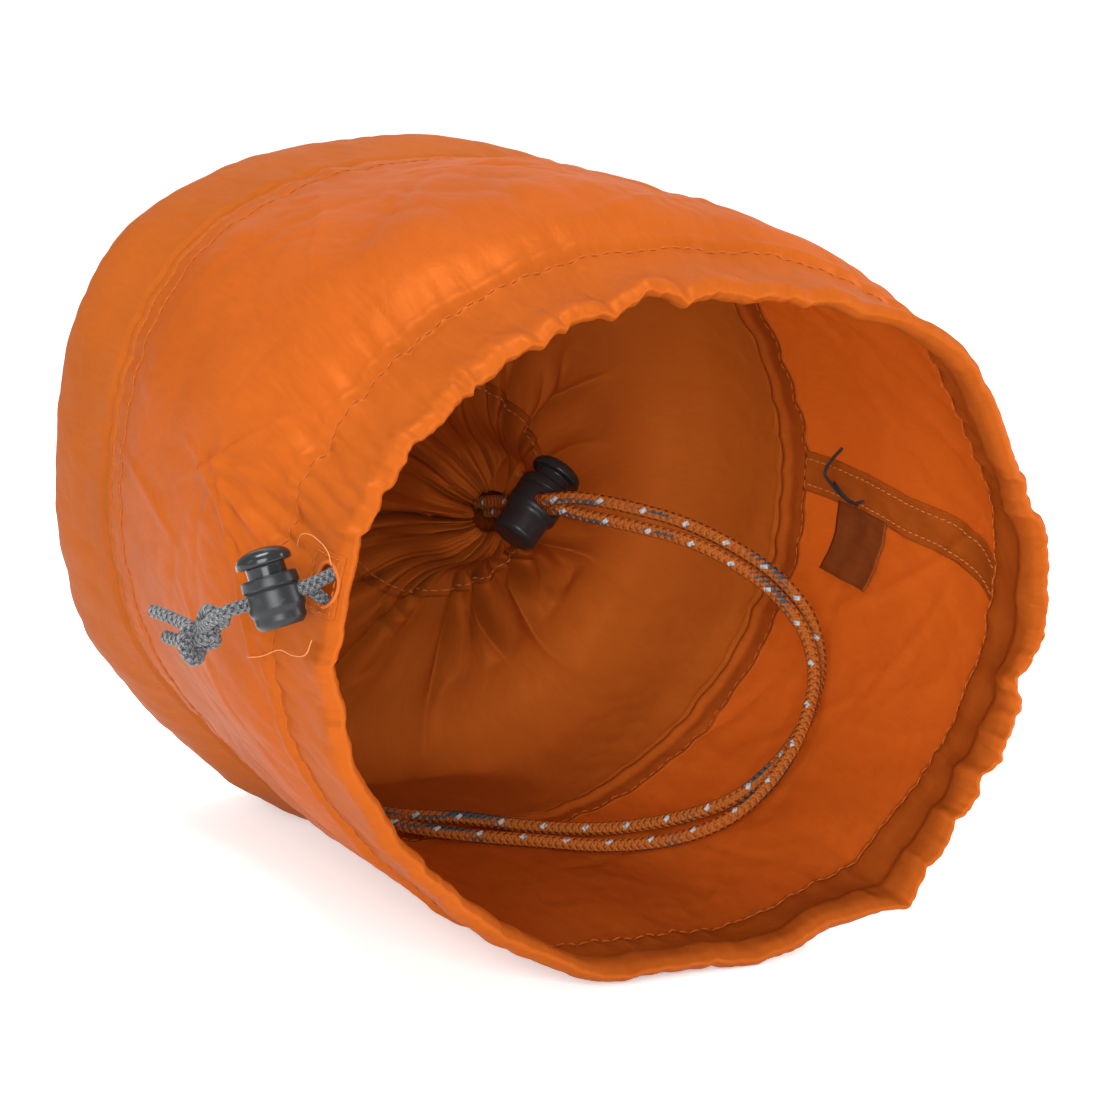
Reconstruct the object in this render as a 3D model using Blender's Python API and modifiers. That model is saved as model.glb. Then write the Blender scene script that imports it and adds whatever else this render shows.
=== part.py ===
"""Stuff sack lying on its side: two fabric tubes, two drawcords and two sprung cord locks.

Metres, +Z up. The sack's axis runs along Y, its mouth faces -Y, and it rests on a flat strip at z = 0.
"""
import math

import bmesh
import bpy
import numpy as np
from mathutils import Matrix, Vector

MM = 0.001

# Driving dimensions of the sack, in metres.
LENGTH = 0.2105
SEAM_AT = 0.145
MOUTH_Y = -LENGTH / 2
WALL = 0.0012
GAP = 0.0003
FLAT_SINK = 0.0025
AROUND = 48

# The main tube: distance behind the mouth, half width, half height.
TUBE_PROFILE = (
    (0.0015, 0.0915, 0.0835),
    (0.0100, 0.0920, 0.0835),
    (0.0280, 0.0940, 0.0855),
    (0.0400, 0.0972, 0.0900),
    (0.0600, 0.0985, 0.0930),
    (0.1000, 0.0975, 0.0938),
    (0.1280, 0.0962, 0.0928),
    (SEAM_AT - GAP / 2, 0.0950, 0.0915),
)
# The end sleeve: distance behind the seam, share of the seam's radius.
SLEEVE_PROFILE = (
    (0.0002, 1.000),
    (0.0140, 1.020),
    (0.0285, 1.035),
    (0.0430, 1.030),
    (0.0520, 1.000),
    (0.0600, 0.920),
    (0.0645, 0.800),
    (0.0655, 0.660),
    (0.0630, 0.520),
    (0.0570, 0.380),
    (0.0490, 0.250),
    (0.0420, 0.150),
    (0.0360, 0.085),
)
SEAM_HALF_WIDTH = 0.0950
SEAM_HALF_HEIGHT = 0.0915
GATHER_X = 0.0216
GATHER_Z = 0.0787

# Hems, bands and small trim.
HEM_DEPTH = 0.0280
HEM_SPACE = 0.0042
BAND_WIDTH = 0.0110
TRIM_WALL = 0.0008
SIDE_BAND_ANGLES = (-5.0, 2.0)
LABEL_ANGLES = (-17.0, -5.8)
LABEL_ENDS = (0.0920, 0.1180)
EXIT_Y = 0.0060
EXIT_Z = 0.1004
SLIT_LENGTH = 0.0096
SLIT_HEIGHT = 0.0134
SLIT_DEPTH = 0.0160
PATCH_ANGLES = (161.5, 172.0)
PATCH_ENDS = (0.0016, 0.0140)

# Cords.
MOUTH_CORD = 0.0030
END_CORD = 0.0035
CORD_SPACING = 2.6
RING_INSET = 0.0032

# Each long strand of the end cord, after its straight run through the lock, as far as the knot:
# x, distance behind the mouth, z. It leans on the right wall, then lies along the floor.
END_ROUTES = {
    "a": (
        (0.0290, 0.1353, 0.0892),
        (0.0400, 0.1295, 0.0872),
        (0.0540, 0.1210, 0.0828),
        (0.0660, 0.1125, 0.0760),
        (0.0745, 0.1058, 0.0685),
        (0.0800, 0.1010, 0.0595),
        (0.0810, 0.0968, 0.0490),
        (0.0770, 0.0920, 0.0395),
        (0.0705, 0.0885, 0.0312),
        (0.0620, 0.0870, 0.0234),
        (0.0520, 0.0890, 0.0161),
        (0.0410, 0.0980, 0.0101),
        (0.0280, 0.1120, 0.0052),
        (0.0130, 0.1260, 0.0037),
        (-0.0030, 0.1390, 0.0046),
        (-0.0180, 0.1490, 0.0048),
        (-0.0320, 0.1560, 0.0082),
        (-0.0432, 0.1600, 0.0128),
    ),
    "b": (
        (0.0315, 0.1333, 0.0844),
        (0.0420, 0.1245, 0.0822),
        (0.0540, 0.1155, 0.0785),
        (0.0645, 0.1075, 0.0720),
        (0.0720, 0.1010, 0.0645),
        (0.0765, 0.0955, 0.0555),
        (0.0762, 0.0905, 0.0455),
        (0.0715, 0.0860, 0.0360),
        (0.0650, 0.0825, 0.0278),
        (0.0565, 0.0808, 0.0196),
        (0.0465, 0.0815, 0.0129),
        (0.0350, 0.0885, 0.0074),
        (0.0220, 0.1010, 0.0040),
        (0.0060, 0.1150, 0.0036),
        (-0.0090, 0.1270, 0.0038),
        (-0.0230, 0.1380, 0.0054),
        (-0.0350, 0.1475, 0.0090),
        (-0.0445, 0.1543, 0.0132),
    ),
}
END_KNOT = (-0.0490, 0.1580, 0.0180)
END_KNOT_SIZE = (0.0058, 0.0062, 0.0052)
END_TAILS = {
    "a": ((-0.0550, 0.1610, 0.0222), (-0.0590, 0.1625, 0.0250), (-0.0635, 0.1640, 0.0290)),
    "b": ((-0.0545, 0.1545, 0.0222), (-0.0580, 0.1515, 0.0250), (-0.0620, 0.1480, 0.0280)),
}

# The mouth cord's knot and tails, which stand off the left wall.
MOUTH_KNOT = (-0.1125, 0.0230, 0.0872)
MOUTH_KNOT_SIZE = (0.0052, 0.0058, 0.0060)
KNOT_REACH = 0.0078
BEND_BULGE = 0.0010
MOUTH_TAILS = {
    "a": ((-0.1150, 0.0288, 0.0893), (-0.1172, 0.0328, 0.0902), (-0.1192, 0.0372, 0.0908)),
    "b": ((-0.1145, 0.0292, 0.0850), (-0.1158, 0.0325, 0.0848), (-0.1170, 0.0350, 0.0850)),
}

# The locks' places: middle of the cord hole, the plunger's direction and the cord's direction.
MOUTH_LOCK_AT = (-0.1000, 0.0085, 0.0980)
MOUTH_LOCK_UP = (-0.20, 0.29, 0.94)
MOUTH_LOCK_THROUGH = (-0.93, 0.32, -0.17)
END_LOCK_AT = (0.0226, 0.1500, 0.0853)
END_LOCK_UP = (0.679, 0.213, 0.703)
END_LOCK_THROUGH = (0.123, -0.976, 0.177)

PARTS = "stuff_sack"
CUTTERS = "cutters"


def clear_scene():
    for item in list(bpy.data.objects):
        bpy.data.objects.remove(item, do_unlink=True)


def collection(name, hidden=False):
    made = bpy.data.collections.new(name)
    bpy.context.scene.collection.children.link(made)
    made.hide_render = hidden
    return made


def material(name, colour, roughness, metallic=0.0):
    made = bpy.data.materials.new(name)
    made.use_nodes = True
    shader = made.node_tree.nodes["Principled BSDF"]
    shader.inputs["Base Color"].default_value = (*colour, 1.0)
    shader.inputs["Roughness"].default_value = roughness
    shader.inputs["Metallic"].default_value = metallic
    return made


def add_mesh(name, mesh, group, finish=None, smooth=40.0):
    made = bpy.data.objects.new(name, mesh)
    group.objects.link(made)
    if finish:
        mesh.materials.append(finish)
    if smooth:
        mesh.shade_smooth()
        mesh.set_sharp_from_angle(angle=math.radians(smooth))
    return made


def place(x, behind_mouth, z):
    """A point of the sack, from its distance behind the mouth."""
    return Vector((x, MOUTH_Y + behind_mouth, z))


def section(half_width, half_height, inset=0.0):
    """Round section that rests on a flat strip at z = 0, inset from the fabric's outer face."""
    points = []
    centre = half_height - FLAT_SINK
    for step in range(AROUND):
        angle = 2 * math.pi * step / AROUND
        x = (half_width - inset) * math.cos(angle)
        z = centre + (half_height - inset) * math.sin(angle)
        points.append((x, max(z, inset)))
    return points


def tube_size(behind_mouth):
    """Half width and half height of the main tube at a distance behind the mouth."""
    at, wide, high = zip(*TUBE_PROFILE)
    return float(np.interp(behind_mouth, at, wide)), float(np.interp(behind_mouth, at, high))


def sleeve_ring(behind_seam, share, inset=0.0):
    """One ring of the end sleeve, whose centre drifts towards the off-centre gather."""
    drift = max(0.0, 1.0 - share) ** 1.5
    ring = []
    for x, z in section(SEAM_HALF_WIDTH, SEAM_HALF_HEIGHT):
        middle = SEAM_HALF_HEIGHT - FLAT_SINK
        centre_x = GATHER_X * drift
        centre_z = middle + (GATHER_Z - middle) * drift
        new_z = centre_z + (z - middle) * share
        if share > 0.95:
            new_z = max(new_z, 0.0)
        ring.append((centre_x + x * share, behind_seam, new_z))
    return ring


def loft(rings, closed_ring=True, close_ends=False):
    """Mesh through rings of matching points. closed_ring joins each ring's last point to its first."""
    work = bmesh.new()
    rows = [[work.verts.new(point) for point in ring] for ring in rings]
    count = len(rows[0])
    steps = count if closed_ring else count - 1
    row_pairs = list(zip(rows, rows[1:]))
    if close_ends:
        row_pairs.append((rows[-1], rows[0]))
    for first, second in row_pairs:
        for index in range(steps):
            following = (index + 1) % count
            work.faces.new((first[index], second[index], second[following], first[following]))
    bmesh.ops.recalc_face_normals(work, faces=work.faces)
    mesh = bpy.data.meshes.new("loft")
    work.to_mesh(mesh)
    work.free()
    return mesh


def shell(name, outer, inner, group, finish):
    """Closed fabric shell between an outer skin of rings and an inner one."""
    return add_mesh(name, loft(outer + inner[::-1], close_ends=True), group, finish)


def tube_rings(profile, inset):
    rings = []
    for at, wide, high in profile:
        rings.append([place(x, at, z) for x, z in section(wide, high, inset)])
    return rings


def exit_slit(cutters):
    """Cutter for the slit that both ends of the mouth cord leave through."""
    bpy.ops.mesh.primitive_cube_add(size=1.0)
    slit = bpy.context.object
    slit.name = "cord_exit_slit"
    slit.data.transform(Matrix.Diagonal((SLIT_DEPTH, SLIT_LENGTH, SLIT_HEIGHT, 1.0)))
    slit.location = place(-0.0900, EXIT_Y, EXIT_Z)
    move_to(slit, cutters)
    hide_cutter(slit)
    return slit


def body_tube(parts, slit, finish):
    made = shell("body_tube", tube_rings(TUBE_PROFILE, 0.0), tube_rings(TUBE_PROFILE, WALL), parts, finish)
    cut(made, slit)
    return made


def move_to(item, group):
    for owner in list(item.users_collection):
        owner.objects.unlink(item)
    group.objects.link(item)


def hide_cutter(item):
    item.hide_render = True
    item.display_type = "WIRE"


def cut(target, cutter, operation="DIFFERENCE"):
    modifier = target.modifiers.new(cutter.name, "BOOLEAN")
    modifier.operation = operation
    modifier.object = cutter
    modifier.solver = "EXACT"


def mouth_hem(parts, finish):
    """Folded-in layer: lips at the mouth and at the stitch line, with room for the cord between."""
    front = 0.0
    outer = []
    inner = []
    lip = WALL + GAP
    space = WALL + HEM_SPACE
    steps = ((front, 0.0), (0.0012, 0.0), (0.0012, space), (0.0045, space), (0.0140, space),
             (0.0215, space), (HEM_DEPTH, lip))
    wide, high = tube_size(0.0015)
    for at, inset in steps:
        wide, high = tube_size(at)
        outer.append([place(x, at, z) for x, z in section(wide, high, inset)])
    steps = ((front, 0.0006 + space), (0.0045, space + TRIM_WALL), (0.0140, space + TRIM_WALL),
             (0.0215, space + TRIM_WALL), (HEM_DEPTH, lip + TRIM_WALL))
    for at, inset in steps:
        wide, high = tube_size(at)
        inner.append([place(x, at, z) for x, z in section(wide, high, inset)])
    return shell("mouth_hem", outer, inner, parts, finish)


def wall_strip(name, parts, finish, angles, ends, outset, thick, steps=8):
    """Strip of fabric that follows the tube's wall, outside it or inside it."""
    rings = []
    count = 5
    for step in range(steps + 1):
        at = ends[0] + (ends[1] - ends[0]) * step / steps
        wide, high = tube_size(at)
        ring = []
        for face in (outset, outset + thick):
            row = []
            for part in range(count):
                angle = math.radians(angles[0] + (angles[1] - angles[0]) * part / (count - 1))
                x = (wide + face) * math.cos(angle)
                z = high - FLAT_SINK + (high + face) * math.sin(angle)
                row.append(place(x, at, z))
            ring += row if face == outset else row[::-1]
        rings.append(ring)
    mesh = loft(rings)
    close_holes(mesh)
    return add_mesh(name, mesh, parts, finish)


def close_holes(mesh):
    work = bmesh.new()
    work.from_mesh(mesh)
    open_edges = [edge for edge in work.edges if edge.is_boundary]
    bmesh.ops.holes_fill(work, edges=open_edges, sides=0)
    bmesh.ops.recalc_face_normals(work, faces=work.faces)
    work.to_mesh(mesh)
    work.free()


def end_seam_band(parts, finish):
    """Ring of folded seam allowance inside the seam between tube and sleeve."""
    outer = []
    inner = []
    for shift in (-0.5, 0.0, 0.5):
        at = SEAM_AT + shift * BAND_WIDTH
        if shift > 0:
            wide = SEAM_HALF_WIDTH
            high = SEAM_HALF_HEIGHT
        else:
            wide, high = tube_size(at)
            wide = min(wide, SEAM_HALF_WIDTH)
            high = min(high, SEAM_HALF_HEIGHT)
        outer.append([place(x, at, z) for x, z in section(wide, high, WALL + GAP)])
        inner.append([place(x, at, z) for x, z in section(wide, high, WALL + GAP + TRIM_WALL)])
    return shell("end_seam_band", outer, inner, parts, finish)


def end_sleeve(parts, finish):
    """Rear tube, drawn in to a gather behind the seam, as one shell of even thickness."""
    outer = []
    for behind, share in SLEEVE_PROFILE:
        outer.append([place(x, SEAM_AT + y, z) for x, y, z in sleeve_ring(behind, share)])
    made = add_mesh("end_sleeve", loft(outer), parts, finish)
    wall = made.modifiers.new("wall", "SOLIDIFY")
    wall.thickness = WALL
    wall.offset = -1.0
    wall.use_even_offset = True
    return made


def turned(name, profile, parts, finish, steps=16):
    """Solid or ring turned about Z from a profile that runs down its outer side, at +X."""
    work = bmesh.new()
    points = [work.verts.new((radius, 0.0, height)) for radius, height in profile]
    for first, second in zip(points, points[1:]):
        work.edges.new((first, second))
    mesh = bpy.data.meshes.new(name)
    work.to_mesh(mesh)
    work.free()
    made = bpy.data.objects.new(name, mesh)
    parts.objects.link(made)
    if finish:
        mesh.materials.append(finish)
    screw = made.modifiers.new("turn", "SCREW")
    screw.steps = steps
    screw.render_steps = steps
    screw.use_merge_vertices = True
    screw.merge_threshold = 0.00001
    screw.use_smooth_shade = True
    return made


def smooth_route(points, spacing):
    """Evenly spaced points along a smooth curve through the given ones."""
    given = [Vector(point) for point in points]
    padded = [given[0] * 2 - given[1], *given, given[-1] * 2 - given[-2]]
    dense = []
    for index in range(1, len(padded) - 2):
        before, here, after, beyond = padded[index - 1:index + 3]
        for part in range(12):
            t = part / 12
            dense.append(0.5 * (2 * here + (after - before) * t
                                + (2 * before - 5 * here + 4 * after - beyond) * t ** 2
                                + (3 * here - before - 3 * after + beyond) * t ** 3))
    dense.append(given[-1])
    lengths = [0.0]
    for first, second in zip(dense, dense[1:]):
        lengths.append(lengths[-1] + (second - first).length)
    count = max(3, round(lengths[-1] / spacing) + 1)
    wanted = np.linspace(0.0, lengths[-1], count)
    axes = [np.interp(wanted, lengths, [point[axis] for point in dense]) for axis in range(3)]
    return [Vector(point) for point in zip(*axes)]


def cord(name, points, diameter, parts, finish, closed=False):
    """Round cord along a list of points, with flat ends."""
    curve = bpy.data.curves.new(name, "CURVE")
    curve.dimensions = "3D"
    curve.bevel_depth = diameter / 2
    curve.bevel_resolution = 2
    curve.use_fill_caps = not closed
    spline = curve.splines.new("POLY")
    spline.points.add(len(points) - 1)
    for spot, point in zip(spline.points, points):
        spot.co = (*point, 1.0)
    spline.use_cyclic_u = closed
    curve.materials.append(finish)
    made = bpy.data.objects.new(name, curve)
    parts.objects.link(made)
    return made


def frame_of(centre, up, through):
    """Placement whose Z runs along a lock's plunger and whose X runs along its cord hole."""
    z_axis = Vector(up).normalized()
    x_axis = Vector(through)
    x_axis = (x_axis - z_axis * x_axis.dot(z_axis)).normalized()
    y_axis = z_axis.cross(x_axis)
    turn = Matrix((x_axis, y_axis, z_axis)).transposed().to_4x4()
    return Matrix.Translation(centre) @ turn


# One cord lock, in its own frame: plunger along Z, cord hole along X, hole's middle at the origin.
LOCKS = {
    "mouth": dict(cord=MOUTH_CORD, radius=0.0066, low=-0.0070, top=0.0048, press=0.0022, rise=0.0040),
    "end": dict(cord=END_CORD, radius=0.0073, low=-0.0115, top=0.0062, press=0.0028, rise=0.0044),
}
POST_CLEARANCE = 0.00025
FOOT_BAR = 0.0008
SPRING_SOLID = 0.0010
SPRING_WIRE = 0.0004


def hole_size(size):
    """Width and height of the hole that takes both strands side by side."""
    return 2 * size["cord"] + 0.0008, size["cord"] + 0.0007


def post_radius(size):
    return size["cord"] + 0.0015


def foot_height(size):
    """Underside of the plunger at rest."""
    return -hole_size(size)[1] / 2 - FOOT_BAR


def bore_floor(size):
    return foot_height(size) - size["press"] - SPRING_SOLID


def barrel_profile(size):
    """Waisted barrel with a rounded foot, a collar and a blind bore for the plunger."""
    radius = size["radius"]
    low = size["low"]
    top = size["top"]
    bore = post_radius(size) + POST_CLEARANCE
    floor = bore_floor(size)
    return (
        (0.0, floor), (bore, floor), (bore, top), (radius * 0.93, top), (radius, top - 0.0008),
        (radius, top - 0.0024), (radius * 0.95, top - 0.0030), (radius, top - 0.0042),
        (radius, low + 0.0030), (radius * 0.94, low + 0.0012), (radius * 0.72, low),
        (0.0, low),
    )


def plunger_profile(size):
    """Domed button on a round post."""
    post = post_radius(size)
    foot = foot_height(size)
    dome = size["top"] + size["press"] + GAP
    rise = size["rise"]
    crown = size["radius"] * 0.97
    return (
        (0.0, dome + rise), (crown * 0.45, dome + rise * 0.93), (crown * 0.80, dome + rise * 0.66),
        (crown, dome + rise * 0.28), (crown, dome + 0.0004), (crown * 0.9, dome), (post, dome),
        (post, foot), (0.0, foot),
    )


def lock(which, put, parts, cutters, finishes):
    """Barrel and sprung plunger of one cord lock, both pierced for the cord."""
    size = LOCKS[which]
    width, height = hole_size(size)
    barrel = turned(f"{which}_lock_barrel", barrel_profile(size), parts, finishes["barrel"], steps=20)
    barrel.matrix_world = put
    cut(barrel, slot_cutter(f"{which}_barrel_hole", width, height, 0.0, cutters, put))
    plunger = turned(f"{which}_lock_plunger", plunger_profile(size), parts, finishes["plunger"], steps=20)
    plunger.matrix_world = put
    press = size["press"]
    cut(plunger, slot_cutter(f"{which}_plunger_slot", width, height + press, press / 2, cutters, put))


def slot_cutter(name, width, height, middle, cutters, put):
    """Box with rounded corners along the cord hole's direction."""
    bpy.ops.mesh.primitive_cube_add(size=1.0)
    made = bpy.context.object
    made.name = name
    made.data.transform(Matrix.Diagonal((0.040, width, height, 1.0)))
    made.data.transform(Matrix.Translation((0.0, 0.0, middle)))
    made.matrix_world = put
    edge = made.modifiers.new("round", "BEVEL")
    edge.width = 0.0006
    edge.segments = 1
    move_to(made, cutters)
    hide_cutter(made)
    return made


def spring(which, put, parts, finish):
    """Coil between the bore's floor and the plunger's foot."""
    size = LOCKS[which]
    low = bore_floor(size) + GAP + SPRING_WIRE / 2
    high = foot_height(size) - GAP - SPRING_WIRE / 2
    radius = post_radius(size) - 0.0009
    turns = 2
    around = 10
    points = []
    for step in range(turns * around + 1):
        angle = 2 * math.pi * step / around
        height = low + (high - low) * step / (turns * around)
        points.append(put @ Vector((radius * math.cos(angle), radius * math.sin(angle), height)))
    return cord(f"{which}_lock_spring", points, SPRING_WIRE, parts, finish)


def knot(name, centre, sizes, parts, finish):
    """Plain body of an overhand knot."""
    bpy.ops.mesh.primitive_uv_sphere_add(segments=12, ring_count=8, radius=1.0)
    made = bpy.context.object
    made.name = name
    made.data.transform(Matrix.Diagonal((*sizes, 1.0)))
    made.location = centre
    made.data.materials.append(finish)
    made.data.shade_smooth()
    move_to(made, parts)
    return made


def end_hem(parts, finish):
    """Folded layer on the mouth's side of the gathered edge, with room for the end cord."""
    steps = ((0.340, 0.0026), (0.260, 0.0034), (0.205, 0.0086), (0.130, 0.0094), (0.090, 0.0070))
    thick = 0.0012
    facing_sleeve = []
    facing_mouth = []
    behind, shares = zip(*SLEEVE_PROFILE)
    for share, offset in steps:
        at = float(np.interp(-share, [-value for value in shares[6:]], behind[6:]))
        for skin, extra in ((facing_sleeve, 0.0), (facing_mouth, thick)):
            skin.append([place(x, SEAM_AT + y, z) for x, y, z in sleeve_ring(at - offset - extra, share)])
    return shell("end_hem", facing_sleeve, facing_mouth, parts, finish)


def end_cord_ring(parts, finish):
    """The end cord's turn round the gather, inside its channel."""
    share = 0.150
    behind = 0.0420 - 0.0062
    ring = sleeve_ring(behind, share)
    points = [place(x, SEAM_AT + y, z) for x, y, z in ring[::4]]
    return cord("end_cord_ring", points, END_CORD, parts, finish, closed=True)


def ring_point(angle, behind_mouth):
    """A point on the mouth cord's line round the channel."""
    wide, high = tube_size(behind_mouth)
    x = (wide - RING_INSET) * math.cos(angle)
    z = high - FLAT_SINK + (high - RING_INSET) * math.sin(angle)
    return place(x, behind_mouth, max(z, RING_INSET))


def mouth_cord(put, parts, finish):
    """The mouth cord: its turn round the channel, and both strands out through the slit to the knot."""
    wide, high = tube_size(EXIT_Y)
    exit_angle = math.pi - math.asin((EXIT_Z - high + FLAT_SINK) / high)
    away = 0.0105 / wide
    pitch = 0.0034
    ends = {"a": exit_angle - away, "b": exit_angle + away}
    beside = MOUTH_CORD / 2 + 0.0002
    room = 3 * GAP / wide
    span = 2 * math.pi - 2 * away - 2 * room
    count = 64
    ring = []
    for step in range(count + 1):
        share = step / count
        angle = ends["a"] - room - span * share
        ring.append(ring_point(angle, EXIT_Y + pitch * (share - 0.5)))
    cord("mouth_cord_ring", ring, MOUTH_CORD, parts, finish)
    knot_at = place(*MOUTH_KNOT)
    for strand, side, turn in (("a", 1, 1), ("b", -1, -1)):
        at = EXIT_Y - side * pitch / 2
        inside = ring_point(ends[strand], at)
        nearer = ring_point(ends[strand] + turn * away * 0.45, at)
        straight = [put @ Vector((along, side * beside, 0.0)) for along in (-0.0070, 0.0, 0.0060, 0.0105)]
        onward = (straight[-1] - straight[-2]).normalized()
        leaving = put @ Vector((0.0105, 0.0, 0.0))
        approach = (knot_at - leaving).normalized()
        outward = (onward - approach * onward.dot(approach)).normalized()
        apart = beside + 0.0002
        halfway = (outward + put.to_3x3() @ Vector((0.0, 1.0, 0.0))).normalized()
        landing = knot_at - approach * KNOT_REACH + outward * side * apart
        middle = knot_at - approach * KNOT_REACH
        middle = (leaving + middle) / 2 + onward * BEND_BULGE + halfway * side * apart
        route = [inside, nearer, *straight, middle, landing]
        cord(f"mouth_cord_strand_{strand}", smooth_route(route, MOUTH_CORD), MOUTH_CORD, parts, finish)


def end_cord(put, parts, finish):
    """Both long strands: out of the gather, straight through the lock, and round to the knot."""
    beside = END_CORD / 2 + 0.0002
    for strand, side in (("a", -1), ("b", 1)):
        straight = [put @ Vector((along, side * beside, 0.0))
                    for along in (-0.0290, -0.0200, -0.0100, 0.0, 0.0070, 0.0105)]
        route = [*straight, *(place(*point) for point in END_ROUTES[strand])]
        points = smooth_route(route, END_CORD * CORD_SPACING)
        cord(f"end_cord_strand_{strand}", points, END_CORD, parts, finish)


def tails(which, routes, diameter, parts, finish):
    for tail, route in routes.items():
        points = smooth_route([place(*point) for point in route], diameter)
        cord(f"{which}_cord_tail_{tail}", points, diameter, parts, finish)


def build():
    clear_scene()
    parts = collection(PARTS)
    cutters = collection(CUTTERS, hidden=True)
    orange = material("orange_nylon", (0.62, 0.13, 0.02), 0.5)
    inner_orange = material("orange_nylon_inside", (0.50, 0.10, 0.02), 0.6)
    grey_cord = material("grey_marled_cord", (0.16, 0.17, 0.18), 0.8)
    dark_cord = material("orange_charcoal_cord", (0.30, 0.08, 0.02), 0.8)
    label = material("label_tape", (0.35, 0.10, 0.03), 0.7)
    steel = material("spring_steel", (0.60, 0.60, 0.62), 0.3, 1.0)
    finishes = {
        "barrel": material("lock_black", (0.03, 0.03, 0.033), 0.45),
        "plunger": material("lock_plunger_black", (0.03, 0.03, 0.033), 0.3),
    }

    slit = exit_slit(cutters)
    body_tube(parts, slit, orange)
    mouth_hem(parts, orange)
    under_wall = -(WALL + GAP + TRIM_WALL)
    patch = wall_strip("exit_patch", parts, orange, PATCH_ANGLES, PATCH_ENDS, GAP, TRIM_WALL, steps=2)
    cut(patch, slit)
    side_ends = (HEM_DEPTH + 2 * GAP, SEAM_AT - BAND_WIDTH / 2 - GAP)
    wall_strip("side_seam_band", parts, orange, SIDE_BAND_ANGLES, side_ends, under_wall, TRIM_WALL)
    wall_strip("care_label", parts, label, LABEL_ANGLES, LABEL_ENDS, under_wall, TRIM_WALL, steps=2)
    end_sleeve(parts, inner_orange)
    end_seam_band(parts, inner_orange)
    end_hem(parts, inner_orange)

    mouth_put = frame_of(place(*MOUTH_LOCK_AT), MOUTH_LOCK_UP, MOUTH_LOCK_THROUGH)
    end_put = frame_of(place(*END_LOCK_AT), END_LOCK_UP, END_LOCK_THROUGH)
    for which, put in (("mouth", mouth_put), ("end", end_put)):
        lock(which, put, parts, cutters, finishes)
        spring(which, put, parts, steel)

    mouth_cord(mouth_put, parts, grey_cord)
    knot("mouth_cord_knot", place(*MOUTH_KNOT), MOUTH_KNOT_SIZE, parts, grey_cord)
    tails("mouth", MOUTH_TAILS, MOUTH_CORD, parts, grey_cord)

    end_cord_ring(parts, dark_cord)
    end_cord(end_put, parts, dark_cord)
    knot("end_cord_knot", place(*END_KNOT), END_KNOT_SIZE, parts, dark_cord)
    tails("end", END_TAILS, END_CORD, parts, dark_cord)


build()
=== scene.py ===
"""Looks of a nylon stuff sack that lies on its side: fabric, stitching, drawcords and cord locks."""
import math

import bmesh
import bpy
import numpy as np
from mathutils import Matrix, Vector


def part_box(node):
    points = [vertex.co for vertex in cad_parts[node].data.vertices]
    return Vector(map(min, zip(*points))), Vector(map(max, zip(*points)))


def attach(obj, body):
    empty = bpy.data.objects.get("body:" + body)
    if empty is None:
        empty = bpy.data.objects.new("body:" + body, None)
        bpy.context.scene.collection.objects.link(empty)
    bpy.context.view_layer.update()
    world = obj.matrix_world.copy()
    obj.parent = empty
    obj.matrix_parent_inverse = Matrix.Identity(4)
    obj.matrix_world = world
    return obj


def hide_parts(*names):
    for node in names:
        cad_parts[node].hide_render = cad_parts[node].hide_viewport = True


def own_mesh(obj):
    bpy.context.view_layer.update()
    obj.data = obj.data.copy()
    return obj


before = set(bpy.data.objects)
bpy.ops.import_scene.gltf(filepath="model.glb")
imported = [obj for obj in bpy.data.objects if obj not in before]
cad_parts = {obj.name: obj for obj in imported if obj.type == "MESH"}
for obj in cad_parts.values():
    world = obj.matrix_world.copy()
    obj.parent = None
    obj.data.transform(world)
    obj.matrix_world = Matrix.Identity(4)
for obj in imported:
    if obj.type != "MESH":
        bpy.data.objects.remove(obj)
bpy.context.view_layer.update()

TAU = 2 * math.pi

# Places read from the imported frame.
MOUTH_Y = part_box("mouth_hem")[0][1]
SEAM_Y = (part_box("end_seam_band")[0][1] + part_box("end_seam_band")[1][1]) / 2
SEAM_AT = SEAM_Y - MOUTH_Y
HEM_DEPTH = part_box("mouth_hem")[1][1] - MOUTH_Y

# The sack's form, as in part.py: distance behind the mouth, half width, half height.
TUBE_PROFILE = (
    (0.0015, 0.0915, 0.0835),
    (0.0100, 0.0920, 0.0835),
    (0.0280, 0.0940, 0.0855),
    (0.0400, 0.0972, 0.0900),
    (0.0600, 0.0985, 0.0930),
    (0.1000, 0.0975, 0.0938),
    (0.1280, 0.0962, 0.0928),
    (0.1450, 0.0950, 0.0915),
)
# The end sleeve: distance behind the seam, share of the seam's radius.
SLEEVE_PROFILE = (
    (0.0000, 1.000),
    (0.0140, 1.020),
    (0.0285, 1.035),
    (0.0430, 1.030),
    (0.0520, 1.000),
    (0.0600, 0.920),
    (0.0645, 0.800),
    (0.0655, 0.660),
    (0.0630, 0.520),
    (0.0570, 0.380),
    (0.0490, 0.250),
    (0.0420, 0.150),
    (0.0360, 0.085),
)
# The sleeve's end, folded back on the mouth's side as the end cord's channel: behind the seam, share.
END_CHANNEL = (
    (0.0320, 0.068),
    (0.0290, 0.062),
    (0.0272, 0.072),
    (0.0272, 0.094),
    (0.0288, 0.130),
    (0.0325, 0.172),
    (0.0400, 0.205),
    (0.0462, 0.240),
    (0.0500, 0.280),
    (0.0532, 0.335),
    (0.0540, 0.350),
)
SEAM_HALF_WIDTH = 0.0950
SEAM_HALF_HEIGHT = 0.0915
FLAT_SINK = 0.0025
GATHER_X = 0.0216
GATHER_Z = 0.0787
CLOTH = 0.00025
LOWEST = 0.00015
FLOOR_BEND = 0.0006
SEAM_LAP = 0.0095

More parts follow.
